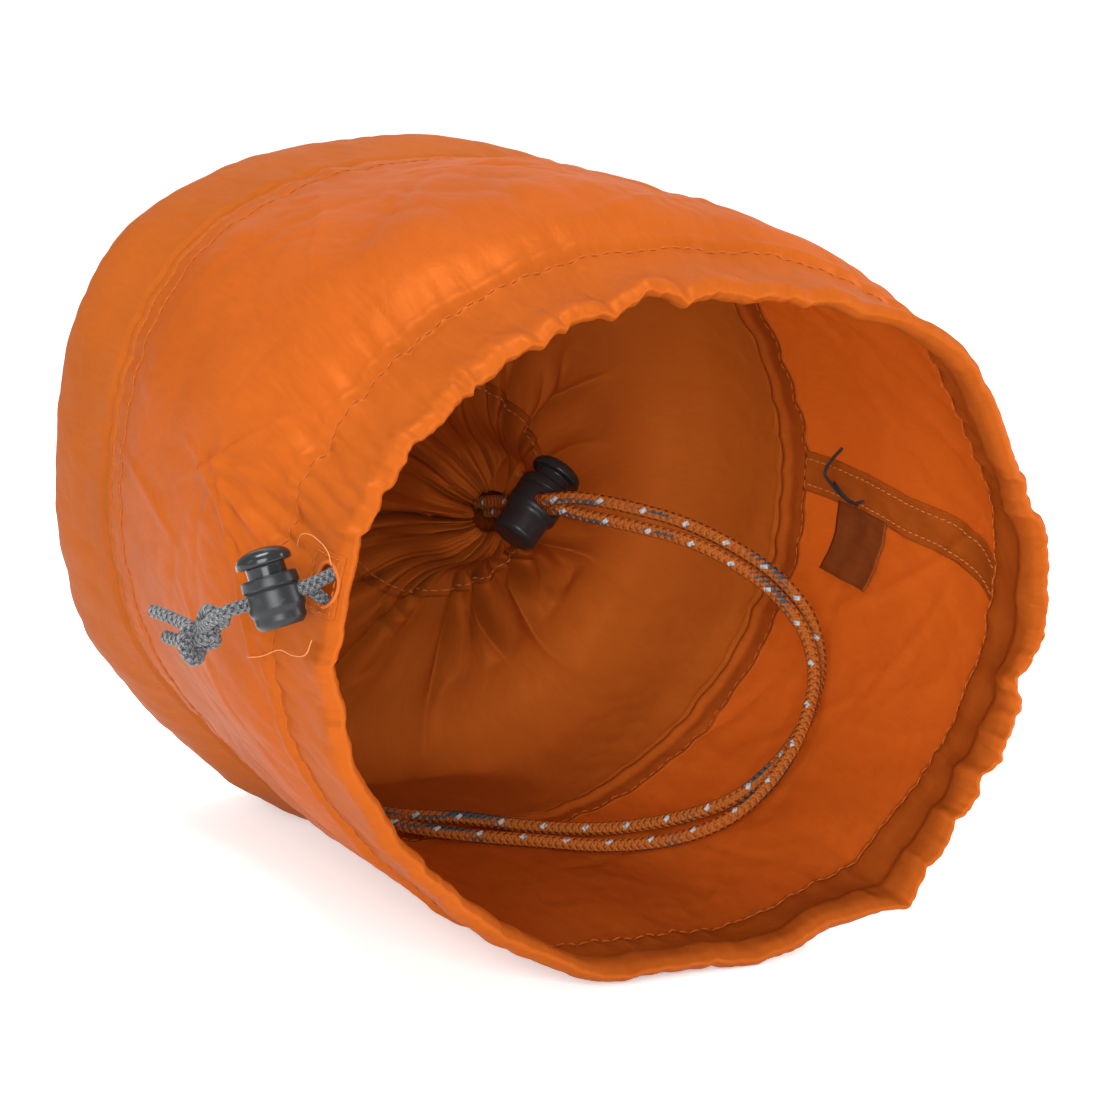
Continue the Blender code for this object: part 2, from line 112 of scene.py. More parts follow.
# The cords' routes, as in part.py.
MOUTH_CORD = 0.0030
END_CORD = 0.0035
RING_INSET = 0.0032
EXIT_Y = 0.0060
EXIT_Z = 0.1004
END_ROUTES = {
    "a": (
        (0.0290, 0.1353, 0.0892), (0.0400, 0.1295, 0.0872), (0.0540, 0.1210, 0.0828),
        (0.0660, 0.1125, 0.0760), (0.0745, 0.1058, 0.0685), (0.0800, 0.1010, 0.0595),
        (0.0810, 0.0968, 0.0490), (0.0770, 0.0920, 0.0395), (0.0705, 0.0885, 0.0312),
        (0.0620, 0.0870, 0.0234), (0.0520, 0.0890, 0.0161), (0.0410, 0.0980, 0.0101),
        (0.0280, 0.1120, 0.0052), (0.0130, 0.1260, 0.0037), (-0.0030, 0.1390, 0.0046),
        (-0.0180, 0.1490, 0.0048), (-0.0320, 0.1560, 0.0082), (-0.0432, 0.1600, 0.0128),
    ),
    "b": (
        (0.0315, 0.1333, 0.0844), (0.0420, 0.1245, 0.0822), (0.0540, 0.1155, 0.0785),
        (0.0645, 0.1075, 0.0720), (0.0720, 0.1010, 0.0645), (0.0765, 0.0955, 0.0555),
        (0.0762, 0.0905, 0.0455), (0.0715, 0.0860, 0.0360), (0.0650, 0.0825, 0.0278),
        (0.0565, 0.0808, 0.0196), (0.0465, 0.0815, 0.0129), (0.0350, 0.0885, 0.0074),
        (0.0220, 0.1010, 0.0040), (0.0060, 0.1150, 0.0036), (-0.0090, 0.1270, 0.0038),
        (-0.0230, 0.1380, 0.0054), (-0.0350, 0.1475, 0.0090), (-0.0445, 0.1543, 0.0132),
    ),
}
END_KNOT = (-0.0490, 0.1580, 0.0180)
END_TAILS = {
    "a": ((-0.0550, 0.1610, 0.0222), (-0.0590, 0.1625, 0.0250), (-0.0635, 0.1640, 0.0290)),
    "b": ((-0.0545, 0.1545, 0.0222), (-0.0580, 0.1515, 0.0250), (-0.0620, 0.1480, 0.0280)),
}
END_SLIDE = 0.015
SPRING_WIRE = 0.0004
MOUTH_KNOT = (-0.1125, 0.0230, 0.0872)
MOUTH_TAILS = {
    "a": ((-0.1150, 0.0288, 0.0893), (-0.1172, 0.0328, 0.0902), (-0.1192, 0.0372, 0.0908)),
    "b": ((-0.1145, 0.0292, 0.0850), (-0.1158, 0.0325, 0.0848), (-0.1170, 0.0350, 0.0850)),
}
LOCKS = {
    "mouth": dict(at=(-0.1000, 0.0085, 0.0980), up=(-0.20, 0.29, 0.94), through=(-0.93, 0.32, -0.17),
                  cord=MOUTH_CORD, radius=0.0066, low=-0.0070, top=0.0048, press=0.0022, rise=0.0040),
    "end": dict(at=(0.0226, 0.1500, 0.0853), up=(0.679, 0.213, 0.703), through=(0.123, -0.976, 0.177),
                cord=END_CORD, radius=0.0073, low=-0.0115, top=0.0062, press=0.0028, rise=0.0044),
}


def place(x, behind_mouth, z):
    return Vector((x, MOUTH_Y + behind_mouth, z))


# ---------------------------------------------------------------- camera, floor and light

CAMERA_AZIMUTH = math.radians(-23.118)
CAMERA_ELEVATION = math.radians(11.266)
CAMERA_DISTANCE = 0.9028
CAMERA_LOOKS_AT = (-0.0371, 0.0, 0.1052)
LENS = 130.9
# The paper's curve starts this far behind the sack; the paper lies just under the floor's height.
SWEEP_FROM = 1.6
SWEEP_RADIUS = 1.2
PAPER_SINK = 0.0004
HORIZON = 400.0


def in_scene(name, data):
    made = bpy.data.objects.new(name, data)
    bpy.context.scene.collection.objects.link(made)
    return made


def camera():
    data = bpy.data.cameras.new("camera")
    data.lens = LENS
    data.sensor_width = 36.0
    data.clip_start = 0.05
    made = in_scene("camera", data)
    away = Vector((math.sin(CAMERA_AZIMUTH) * math.cos(CAMERA_ELEVATION),
                   -math.cos(CAMERA_AZIMUTH) * math.cos(CAMERA_ELEVATION),
                   math.sin(CAMERA_ELEVATION)))
    made.location = place(*CAMERA_LOOKS_AT) + away * CAMERA_DISTANCE
    made.rotation_euler = (-away).to_track_quat("-Z", "Y").to_euler()
    bpy.context.scene.camera = made


def lamp(name, where, aim, size, power):
    data = bpy.data.lights.new(name, "AREA")
    data.shape = "RECTANGLE"
    data.size, data.size_y = size
    data.energy = power
    made = in_scene(name, data)
    made.location = where
    made.rotation_euler = (Vector(aim) - Vector(where)).to_track_quat("-Z", "Y").to_euler()


def white_ground(name, verts, faces, base, glow, sampling):
    """Matt white mesh with some light of its own."""
    mesh = bpy.data.meshes.new(name)
    mesh.from_pydata(verts, [], faces)
    mesh.polygons.foreach_set("use_smooth", [True] * len(faces))
    white = bpy.data.materials.new(f"{name}_white")
    white.use_nodes = True
    white.cycles.emission_sampling = sampling
    inputs = white.node_tree.nodes["Principled BSDF"].inputs
    inputs["Base Color"].default_value = (base, base, base, 1.0)
    inputs["Roughness"].default_value = 0.95
    inputs["Specular IOR Level"].default_value = 0.0
    inputs["Emission Color"].default_value = (1.0, 1.0, 1.0, 1.0)
    inputs["Emission Strength"].default_value = glow
    mesh.materials.append(white)
    return in_scene(name, mesh)


def paper_sweep():
    """White paper on the floor that curves up into a wall behind the sack."""
    curve = np.linspace(0.15, math.pi / 2, 12)
    profile = [(-3.0, 0.0), (-0.001, 0.0), (SWEEP_FROM, 0.0)]
    profile += [(SWEEP_FROM + SWEEP_RADIUS * math.sin(turn), SWEEP_RADIUS - SWEEP_RADIUS * math.cos(turn))
                for turn in curve]
    profile.append((SWEEP_FROM + SWEEP_RADIUS, 5.0))
    verts = [(x, y, z - PAPER_SINK) for y, z in profile for x in (-5.0 if y < 1 else 0.1, 5.0)]
    faces = [(2 * row, 2 * row + 1, 2 * row + 3, 2 * row + 2) for row in range(len(profile) - 1)]
    return white_ground("paper_sweep", verts, faces, 0.94, 0.36, "AUTO")


def far_floor():
    """White floor that goes on to the horizon beyond the paper."""
    verts = [(x * HORIZON, y * HORIZON, -0.004) for x, y in ((-1, -1), (1, -1), (1, 1), (-1, 1))]
    return white_ground("far_floor", verts, [(0, 1, 2, 3)], 0.5, 1.0, "NONE")


def studio():
    scene = bpy.context.scene
    scene.view_settings.view_transform = "Standard"
    world = bpy.data.worlds.new("studio")
    world.use_nodes = True
    back = world.node_tree.nodes["Background"]
    back.inputs["Color"].default_value = (1.0, 1.0, 1.0, 1.0)
    back.inputs["Strength"].default_value = 0.30
    scene.world = world
    lamp("softbox_top", (-0.30, 0.10, 1.05), (0.0, 0.0, 0.10), (0.36, 0.48), 13.0)
    lamp("softbox_left", (-1.10, -0.10, 0.55), (-0.05, 0.0, 0.10), (0.25, 0.60), 2.0)
    lamp("softbox_front", (-0.75, -1.45, 0.55), (0.03, 0.0, 0.09), (1.0, 0.9), 44.0)
    lamp("softbox_right", (1.32, -0.25, 0.52), (0.10, -0.04, 0.09), (0.8, 0.8), 32.0)
    paper_sweep()
    far_floor()


# ---------------------------------------------------------------- mesh helpers

def finish_mesh(name, points, faces, uvs, material, smooth=True):
    """Mesh object from numpy points, quads or polygons, and one UV per face corner, in metres of cloth."""
    mesh = bpy.data.meshes.new(name)
    mesh.from_pydata([tuple(point) for point in points], [], [tuple(face) for face in faces])
    layer = mesh.uv_layers.new(name="cloth")
    layer.data.foreach_set("uv", np.asarray(uvs, dtype=np.float32).ravel())
    mesh.materials.append(material)
    mesh.polygons.foreach_set("use_smooth", [smooth] * len(mesh.polygons))
    mesh.update()
    return in_scene(name, mesh)


def on_sack(made, *nodes, slot=None):
    """Fix a piece to the sack, in place of CAD nodes where they are given. The slot argument is not used."""
    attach(made, "sack")
    if nodes:
        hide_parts(*nodes)
    return made


def distances(points):
    """How far along a path each of its points is."""
    return np.concatenate([[0.0], np.cumsum(np.linalg.norm(np.diff(points, axis=0), axis=1))])


def grid_faces(rows, columns, closed):
    """Quads of a grid of points, with the matching row and column of each corner."""
    row = np.arange(rows - 1)[:, None]
    column = np.arange(columns if closed else columns - 1)[None, :]
    corners = []
    for down, across in ((0, 0), (0, 1), (1, 1), (1, 0)):
        corners.append(((row + down) * columns + (column + across) % columns).ravel())
    uv_rows = [np.broadcast_to(row + down, (rows - 1, column.shape[1])).ravel() for down in (0, 0, 1, 1)]
    uv_columns = [np.broadcast_to(column + across, (rows - 1, column.shape[1])).ravel()
                  for across in (0, 1, 1, 0)]
    return np.stack(corners, 1), np.stack(uv_rows, 1), np.stack(uv_columns, 1)


def sheet(name, points, lengths, widths, material, closed=True, thickness=CLOTH, flip=False, keep=None):
    """Thin cloth from a grid of points, lengths down the rows and widths across the columns.
    keep is False at the points of an opening."""
    rows, columns = points.shape[:2]
    faces, uv_rows, uv_columns = grid_faces(rows, columns, closed)
    uvs = np.stack([np.asarray(widths)[uv_columns], np.asarray(lengths)[uv_rows]], -1)
    if keep is not None:
        whole = np.broadcast_to(keep, (rows, columns)).ravel()[faces].all(axis=1)
        faces = faces[whole]
        uvs = uvs[whole]
    if flip:
        faces = faces[:, ::-1]
        uvs = uvs[:, ::-1]
    made = finish_mesh(name, points.reshape(-1, 3), faces, uvs.reshape(-1, 2), material)
    wall = made.modifiers.new("thickness", "SOLIDIFY")
    wall.thickness = thickness
    wall.offset = -1.0
    return made


def path_sides(points):
    """Two side directions along a path, without twist."""
    points = np.asarray(points, dtype=float)
    tangents = np.gradient(points, axis=0)
    tangents /= np.linalg.norm(tangents, axis=1)[:, None]
    side = np.cross(tangents[0], (0.0, 0.0, 1.0))
    if np.linalg.norm(side) < 0.2:
        side = np.cross(tangents[0], (1.0, 0.0, 0.0))
    sides = []
    for tangent in tangents:
        side = side - tangent * side.dot(tangent)
        side = side / np.linalg.norm(side)
        sides.append(side)
    sides = np.array(sides)
    return sides, np.cross(tangents, sides)


def smooth_route(points, spacing):
    """Evenly spaced points along a smooth curve through the given ones."""
    given = [Vector(point) for point in points]
    padded = [given[0] * 2 - given[1], *given, given[-1] * 2 - given[-2]]
    dense = []
    for index in range(1, len(padded) - 2):
        before, here, after, beyond = padded[index - 1:index + 3]
        for part in range(12):
            t = part / 12
            dense.append(0.5 * (2 * here + (after - before) * t
                                + (2 * before - 5 * here + 4 * after - beyond) * t ** 2
                                + (3 * here - before - 3 * after + beyond) * t ** 3))
    dense.append(given[-1])
    dense = np.array(dense)
    lengths = distances(dense)
    count = max(3, round(lengths[-1] / spacing) + 1)
    wanted = np.linspace(0.0, lengths[-1], count)
    return np.stack([np.interp(wanted, lengths, dense[:, axis]) for axis in range(3)], 1)


def cord_mesh(name, route, diameter, material, closed=False, sides=16):
    """Round cord along a dense route, with slightly rounded, cut ends."""
    route = np.asarray(route, dtype=float)
    across, upward = path_sides(route)
    radius = np.full(len(route), diameter / 2)
    if not closed:
        route = np.concatenate([route[:1], route, route[-1:]])
        across = np.concatenate([across[:1], across, across[-1:]])
        upward = np.concatenate([upward[:1], upward, upward[-1:]])
        radius = np.concatenate([[diameter * 0.34], radius, [diameter * 0.34]])
    angle = np.arange(sides) * TAU / sides
    ring = (across[:, None, :] * np.cos(angle)[None, :, None]
            + upward[:, None, :] * np.sin(angle)[None, :, None])
    points = route[:, None, :] + ring * radius[:, None, None]
    along = distances(route)
    around = np.arange(sides + 1) / sides
    faces, uv_rows, uv_columns = grid_faces(len(route), sides, True)
    uvs = np.stack([along[uv_rows], around[uv_columns]], -1)
    faces = [tuple(face[::-1]) for face in faces]
    uvs = uvs[:, ::-1].reshape(-1, 2)
    if not closed:
        caps = [tuple(range(sides)), tuple(range(len(route) * sides - 1, (len(route) - 1) * sides - 1, -1))]
        for cap, at in zip(caps, (along[0], along[-1])):
            faces.append(cap)
            uvs = np.concatenate([uvs, [(at, 0.0)] * sides])
    return finish_mesh(name, points.reshape(-1, 3), faces, uvs, material)


# ---------------------------------------------------------------- materials

FINE_BUMP = 0.00008
BRAID_BUMP = 0.0003
TRACER_PITCH = 0.0118


def connect(tree, node, values):
    """Give a node's sockets their values or links."""
    for key, value in values.items():
        if isinstance(value, bpy.types.NodeSocket):
            tree.links.new(value, node.inputs[key])
        else:
            node.inputs[key].default_value = value


def new_material(name):
    made = bpy.data.materials.new(name)
    made.use_nodes = True
    return made, made.node_tree, made.node_tree.nodes["Principled BSDF"]


def add(tree, kind, inputs=None, **settings):
    """A shader node with settings on itself and, under inputs, values or links for its sockets."""
    made = tree.nodes.new(kind)
    for key, value in settings.items():
        setattr(made, key, value)
    connect(tree, made, inputs or {})
    return made


def maths(tree, operation, first, second=None):
    inputs = {0: first} if second is None else {0: first, 1: second}
    return add(tree, "ShaderNodeMath", inputs, operation=operation).outputs[0]


def cloth_at(tree, along, across):
    """The cloth's own coordinates, in metres, times a number each way."""
    uv = add(tree, "ShaderNodeUVMap", uv_map="cloth").outputs[0]
    return add(tree, "ShaderNodeMapping", {"Vector": uv, "Scale": (along, across, 1.0)}).outputs[0]


def blend_colours(tree, share, first, second):
    """Two colours mixed by share. Each is red, green and blue, or a socket."""
    first, second = ((*colour, 1.0) if isinstance(colour, tuple) else colour for colour in (first, second))
    return add(tree, "ShaderNodeMix", {0: share, 6: first, 7: second}, data_type="RGBA").outputs[2]


def ramp(tree, value, low, high):
    return add(tree, "ShaderNodeMapRange", {"Value": value, "From Min": low, "From Max": high},
               interpolation_type="SMOOTHSTEP").outputs[0]


def noise(tree, at, detail, scale=1.0, roughness=0.5, distortion=0.0):
    return add(tree, "ShaderNodeTexNoise", {"Vector": at, "Scale": scale, "Detail": detail,
                                            "Roughness": roughness, "Distortion": distortion}).outputs[0]


def bump(tree, height, strength, distance, under=None):
    inputs = {"Strength": strength, "Distance": distance, "Height": height}
    if under is not None:
        inputs["Normal"] = under
    return add(tree, "ShaderNodeBump", inputs).outputs[0]


def nylon(name, colour, deep, through, share=0.36, roughness=0.36, metallic=0.08):
    """Thin satin nylon: fine weave, drifting colour and some light let through."""
    made, tree, shader = new_material(name)
    threads = {"Vector": cloth_at(tree, 1900.0, 1900.0), "Scale": 0.5, "Distortion": 0.6, "Detail": 1.0,
               "Detail Scale": 0.4}
    warp, weft = (add(tree, "ShaderNodeTexWave", threads, bands_direction=way).outputs["Fac"] for way in "XY")
    slub = noise(tree, cloth_at(tree, 900.0, 120.0), 3.0)
    drift = noise(tree, cloth_at(tree, 22.0, 22.0), 4.0)
    dents = noise(tree, cloth_at(tree, 110.0, 70.0), 5.0, roughness=0.62, distortion=0.7)
    shade = maths(tree, "ADD", maths(tree, "MULTIPLY", slub, 0.55), maths(tree, "MULTIPLY", drift, 0.75))
    fine = bump(tree, maths(tree, "MULTIPLY", warp, weft), 0.25, 0.00006)
    broad = bump(tree, dents, 0.5, 0.0008, fine)
    connect(tree, shader, {
        "Base Color": blend_colours(tree, ramp(tree, shade, 0.45, 0.85), deep, colour),
        "Specular IOR Level": 0.02, "Specular Tint": (1.0, 0.50, 0.25, 1.0), "Metallic": metallic,
        "Roughness": maths(tree, "ADD", maths(tree, "MULTIPLY", dents, 0.16), roughness - 0.08),
        "Normal": broad,
    })
    glow = add(tree, "ShaderNodeBsdfTranslucent", {"Color": (*through, 1.0), "Normal": broad}).outputs[0]
    mixed = add(tree, "ShaderNodeMixShader", {0: share, 1: shader.outputs[0], 2: glow}).outputs[0]
    output = next(item for item in tree.nodes if item.type == "OUTPUT_MATERIAL")
    connect(tree, output, {"Surface": mixed})
    return made


def thread_material(name, colour):
    """Twisted sewing thread."""
    made, tree, shader = new_material(name)
    ply = add(tree, "ShaderNodeTexWave", {"Vector": cloth_at(tree, 2600.0, 3.0), "Scale": 0.6},
              bands_direction="DIAGONAL").outputs[0]
    dark = tuple(0.55 * value for value in colour)
    connect(tree, shader, {"Base Color": blend_colours(tree, ply, dark, colour), "Roughness": 0.55,
                           "Specular IOR Level": 0.15, "Normal": bump(tree, ply, 0.6, FINE_BUMP)})
    return made


def braid(tree, pitch, strands):
    """Sockets for a round braid: along it, around it, each set of carriers, and its height."""
    uv = add(tree, "ShaderNodeUVMap", uv_map="cloth").outputs[0]
    along, around = add(tree, "ShaderNodeSeparateXYZ", {0: uv}).outputs[:2]
    forward = maths(tree, "MULTIPLY", along, TAU / pitch)
    turned_by = maths(tree, "MULTIPLY", around, TAU * strands)
    right, left = (maths(tree, "SINE", maths(tree, way, forward, turned_by)) for way in ("ADD", "SUBTRACT"))
    return along, around, right, left, maths(tree, "MAXIMUM", right, left)


def marled_cord(name):
    """Grey salt and pepper braid."""
    made, tree, shader = new_material(name)
    _, _, right, left, height = braid(tree, 0.0016, 4)
    speckle = noise(tree, cloth_at(tree, 3200.0, 26.0), 2.0, roughness=0.7)
    crossing = maths(tree, "MULTIPLY", maths(tree, "SUBTRACT", right, left), 0.05)
    tone = ramp(tree, maths(tree, "ADD", speckle, crossing), 0.40, 0.66)
    connect(tree, shader, {
        "Base Color": blend_colours(tree, tone, (0.010, 0.0105, 0.011), (0.135, 0.14, 0.147)),
        "Roughness": 0.75, "Specular IOR Level": 0.15, "Sheen Weight": 0.2,
        "Normal": bump(tree, height, 0.9, BRAID_BUMP),
    })
    return made


def flecked_cord(name):
    """Burnt orange braid with charcoal patches and a pale reflective tracer."""
    made, tree, shader = new_material(name)
    along, around, right, _, height = braid(tree, 0.0019, 4)
    patches = noise(tree, cloth_at(tree, 34.0, 1.3), 2.0)
    charcoal = ramp(tree, maths(tree, "ADD", patches, maths(tree, "MULTIPLY", right, 0.03)), 0.56, 0.61)
    grain = noise(tree, cloth_at(tree, 2400.0, 14.0), 2.0)
    rust = blend_colours(tree, grain, (0.150, 0.038, 0.006), (0.40, 0.105, 0.015))
    coal = blend_colours(tree, grain, (0.016, 0.018, 0.020), (0.075, 0.082, 0.088))
    turns = maths(tree, "MULTIPLY", along, 1 / TRACER_PITCH)
    marks = []
    for way, low, high in (("ADD", 0.060, 0.080), ("SUBTRACT", 0.100, 0.125)):
        turn = maths(tree, "FRACT", maths(tree, way, turns, around))
        apart = maths(tree, "ABSOLUTE", maths(tree, "SUBTRACT", turn, 0.5))
        marks.append(maths(tree, "SUBTRACT", 1.0, ramp(tree, apart, low, high)))
    fleck = maths(tree, "MULTIPLY", *marks)
    connect(tree, shader, {
        "Base Color": blend_colours(tree, fleck, blend_colours(tree, charcoal, rust, coal),
                                    (0.30, 0.35, 0.38)),
        "Roughness": maths(tree, "SUBTRACT", 0.78, maths(tree, "MULTIPLY", fleck, 0.4)),
        "Specular IOR Level": 0.12, "Normal": bump(tree, height, 0.9, BRAID_BUMP),
    })
    return made


def plastic(name, colour, roughness, grain):
    """Moulded nylon: faint orange-peel grain, scuffs that lighten and dull it."""
    made, tree, shader = new_material(name)
    at = add(tree, "ShaderNodeTexCoord").outputs["Object"]
    pores = noise(tree, at, 3.0, scale=2600.0)
    worn = ramp(tree, noise(tree, at, 6.0, scale=300.0, roughness=0.7, distortion=1.2), 0.55, 0.75)
    light = tuple(min(1.0, value * 1.9 + 0.01) for value in colour)
    connect(tree, shader, {
        "Base Color": blend_colours(tree, worn, colour, light), "Specular IOR Level": 0.22,
        "Roughness": maths(tree, "ADD", maths(tree, "MULTIPLY", worn, 0.15), roughness),
        "Normal": bump(tree, pores, grain, FINE_BUMP),
    })
    return made


def wire_material(name):
    made, tree, shader = new_material(name)
    drawn = noise(tree, add(tree, "ShaderNodeTexCoord").outputs["Object"], 2.0, scale=3000.0)
    connect(tree, shader, {"Base Color": blend_colours(tree, drawn, (0.45, 0.45, 0.47), (0.70, 0.70, 0.72)),
                           "Metallic": 1.0, "Roughness": 0.28})
    return made


# ---------------------------------------------------------------- the fabric's form

def waves(seed, count, low, high, along=0.0):
    """Smooth random waves round the sack: whole numbers of turns, so that they close."""
    random = np.random.default_rng(seed)
    turns = random.integers(low, high + 1, count)
    phase = random.uniform(0, TAU, count)
    slope = random.uniform(-along, along, count)
    weight = random.uniform(0.5, 1.0, count)
    weight /= np.sqrt((weight ** 2).sum() / 2)

    def value(angle, at=0.0):
        total = 0.0
        for turn, lean, start, size in zip(turns, slope, phase, weight):
            total = total + size * np.cos(turn * np.asarray(angle) + lean * np.asarray(at) + start)
        return total
    return value


def pleats(seed, turns, wander, round_top=0.12, slant=0.0):
    """Uneven folds round the sack, from -1 on broad ridges to 1 in narrow creases."""
    random = np.random.default_rng(seed)
    orders = np.arange(1, 8)
    size = random.uniform(-wander, wander, 7) / np.sqrt(orders)
    phase = random.uniform(0, TAU, 7)
    depth = waves(seed + 500, 5, 2, max(3, turns // 4))

    def value(angle, at=0.0):
        angle = np.asarray(angle) + 0.0 * np.asarray(at)
        swing = sum(part * np.sin(order * angle + start) for part, order, start in zip(size, orders, phase))
        fold = np.sqrt(np.cos((turns * angle + swing + slant * at) / 2) ** 2 + round_top ** 2)
        return (1 - 2 * fold) * (0.85 + 0.30 * np.clip(depth(angle), -1.3, 1.3))
    return value


def smooth_step(value, low, high):
    t = np.clip((np.asarray(value) - low) / (high - low), 0.0, 1.0)
    return t * t * (3 - 2 * t)


def bell(value, width):
    return np.exp(-(value / width) ** 2)


def above_floor(z, lowest):
    """Heights kept over lowest, with a soft bend where they would pass it."""
    return lowest + FLOOR_BEND * np.logaddexp(0.0, (z - lowest) / FLOOR_BEND)


def turn_apart(angle, middle):
    """Signed angle from middle, from -pi to pi."""
    return np.angle(np.exp(1j * (np.asarray(angle) - middle)))


def smoothed(table, spread):
    """A table's values on even steps, softened over about spread steps."""
    reach = int(3 * spread)
    kernel = np.exp(-0.5 * (np.arange(-reach, reach + 1) / spread) ** 2)
    kernel /= kernel.sum()
    start = 2 * table[0] - table[reach:0:-1]
    end = 2 * table[-1] - table[-2:-reach - 2:-1]
    return np.convolve(np.concatenate([start, table, end]), kernel, "valid")


PROFILE_STEPS = np.linspace(0.0, SEAM_AT, 300)
TUBE_WIDE = smoothed(np.interp(PROFILE_STEPS, *np.array(TUBE_PROFILE).T[[0, 1]]), 9)
TUBE_HIGH = smoothed(np.interp(PROFILE_STEPS, *np.array(TUBE_PROFILE).T[[0, 2]]), 9)

SWELL = waves(11, 7, 2, 5, along=18.0)
DRAPE = waves(12, 9, 4, 11, along=40.0)
SEAM_PUCKER = pleats(15, 58, 2.6)
STITCH_PUCKER = pleats(16, 78, 3.0)
STITCH_FOLDS = pleats(17, 27, 2.8)
RUFFLE = pleats(18, 84, 3.4, round_top=0.06)
RUFFLE_BROAD = pleats(19, 33, 3.2, round_top=0.05)
RUFFLE_FINE = pleats(27, 163, 3.6)
LOCK_GATHER = pleats(26, 105, 3.0, round_top=0.06, slant=160.0)
RUFFLE_STRENGTH = waves(20, 5, 1, 5)
EDGE_SWAY = waves(21, 6, 3, 9)
INNER_SWAY = waves(22, 8, 6, 22, along=60.0)
DENTS_BROAD = waves(23, 14, 5, 13, along=75.0)
DENTS = waves(24, 18, 12, 30, along=170.0)
DENTS_FINE = waves(25, 22, 26, 64, along=380.0)
MOUTH_HIGH = TUBE_PROFILE[0][2]
EXIT_ANGLE = math.pi - math.asin((EXIT_Z - MOUTH_HIGH + FLAT_SINK) / MOUTH_HIGH)
# Corners of the mouth's fold: degrees round it, how far each stands out, width in degrees.
CORNERS = (
    (306.5, 0.0044, 4.5), (296.0, -0.0014, 5.0), (318.0, -0.0016, 6.0), (349.0, 0.0014, 4.0),
    (338.0, -0.0010, 6.0), (281.0, 0.0010, 4.0), (268.0, -0.0008, 6.0), (36.0, 0.0012, 5.0),
    (57.0, 0.0010, 4.0), (47.0, -0.0010, 5.0), (75.0, -0.0008, 5.0), (222.0, 0.0010, 5.0),
    (12.0, 0.0010, 5.0), (22.0, -0.0008, 5.0),
)


def crease_table():
    """Soft creases in the tube: angle, distance behind the mouth, direction, length, width, height."""
    random = np.random.default_rng(44)
    table = []
    for _ in range(46):
        table.append((random.uniform(0, TAU), random.uniform(0.045, 0.135), random.uniform(0, math.pi),
                      random.uniform(0.016, 0.050), random.uniform(0.0014, 0.0032),
                      random.choice((-1, 1)) * random.uniform(0.00025, 0.0007)))
    for spread in (-1.05, -0.72, -0.40, -0.10, 0.20, 0.52, 0.85):
        table.append((EXIT_ANGLE - 0.20 * math.sin(spread) - 0.05, 0.040 + 0.012 * math.cos(spread),
                      math.pi / 2 - spread, random.uniform(0.016, 0.034), random.uniform(0.0012, 0.0022),
                      random.uniform(0.0006, 0.0013)))
    return table


CREASES = crease_table()


def creases(angle, at):
    """How far the creases stand out. Each is a ridge that fades along its length."""
    total = 0.0
    for middle, behind, direction, length, width, height in CREASES:
        across = turn_apart(angle, middle) * SEAM_HALF_WIDTH
        along = at - behind
        run = across * math.cos(direction) + along * math.sin(direction)
        side = along * math.cos(direction) - across * math.sin(direction) + 2.5 * run ** 2
        total = total + height * np.exp(-(side / width) ** 2 - (run / length) ** 4)
    return total


def near_lock(angle):
    """1 beside the mouth's lock, where the cord bunches the channel, and 0 away from it."""
    return bell(turn_apart(angle, EXIT_ANGLE - 0.16), 0.36)


def body_relief(angle, at):
    """How far the tube's fabric stands out from its smooth form, behind the channel."""
    behind_stitch = np.maximum(at - HEM_DEPTH, 0.0)
    before_seam = np.maximum(SEAM_AT - at, 0.0)
    middle = smooth_step(behind_stitch, 0.0, 0.030) * smooth_step(before_seam, 0.0, 0.030)
    relief = 0.0010 * SWELL(angle, at) * middle + 0.0005 * DRAPE(angle, at) * middle
    relief += (creases(angle, at) * smooth_step(behind_stitch, 0.0, 0.012)
               * smooth_step(before_seam, 0.0, 0.012))
    pull = np.exp(-behind_stitch / 0.009)
    relief -= (0.0004 * STITCH_PUCKER(angle) + 0.00035 * STITCH_FOLDS(angle)) * pull
    bunched = near_lock(angle) * np.exp(-behind_stitch / 0.018)
    relief -= (0.0010 * STITCH_FOLDS(angle) + 0.0007 * LOCK_GATHER(angle, HEM_DEPTH)) * bunched
    relief += crumple(angle, at) * smooth_step(behind_stitch, 0.0, 0.004)
    relief -= 0.0012 * bell(behind_stitch, 0.0012)
    relief += 0.0004 * bell(behind_stitch - 0.0028, 0.0016)
    return relief + seam_relief(angle, before_seam)


def seam_relief(angle, away):
    """Puckers and the tight crease of the seam round the far end."""
    relief = -0.0004 * SEAM_PUCKER(angle) * np.exp(-away / 0.009)
    relief -= 0.0009 * bell(away, 0.0011)
    relief += 0.0002 * bell(away - 0.0030, 0.0018)
    return relief


def lap_relief(angle, at):
    """The felled seam's second stitch line, and the extra layers between it and the seam."""
    away = SEAM_AT - SEAM_LAP - at
    step = 0.00035 * smooth_step(at, SEAM_AT - SEAM_LAP - 0.0004, SEAM_AT - SEAM_LAP + 0.0010)
    return step - (0.0002 + 0.0002 * SEAM_PUCKER(angle)) * bell(away, 0.0009)


# How strong the mouth's ruffles are: degrees round it, strength.
RUFFLES = (
    (0, 1.0), (20, 0.9), (40, 0.5), (60, 0.8), (80, 1.0), (100, 0.9), (120, 0.7), (140, 1.0), (160, 1.2),
    (180, 0.7), (200, 0.35), (225, 0.35), (255, 0.45), (280, 0.8), (305, 0.9), (330, 0.8), (350, 1.0),
    (360, 1.0),
)


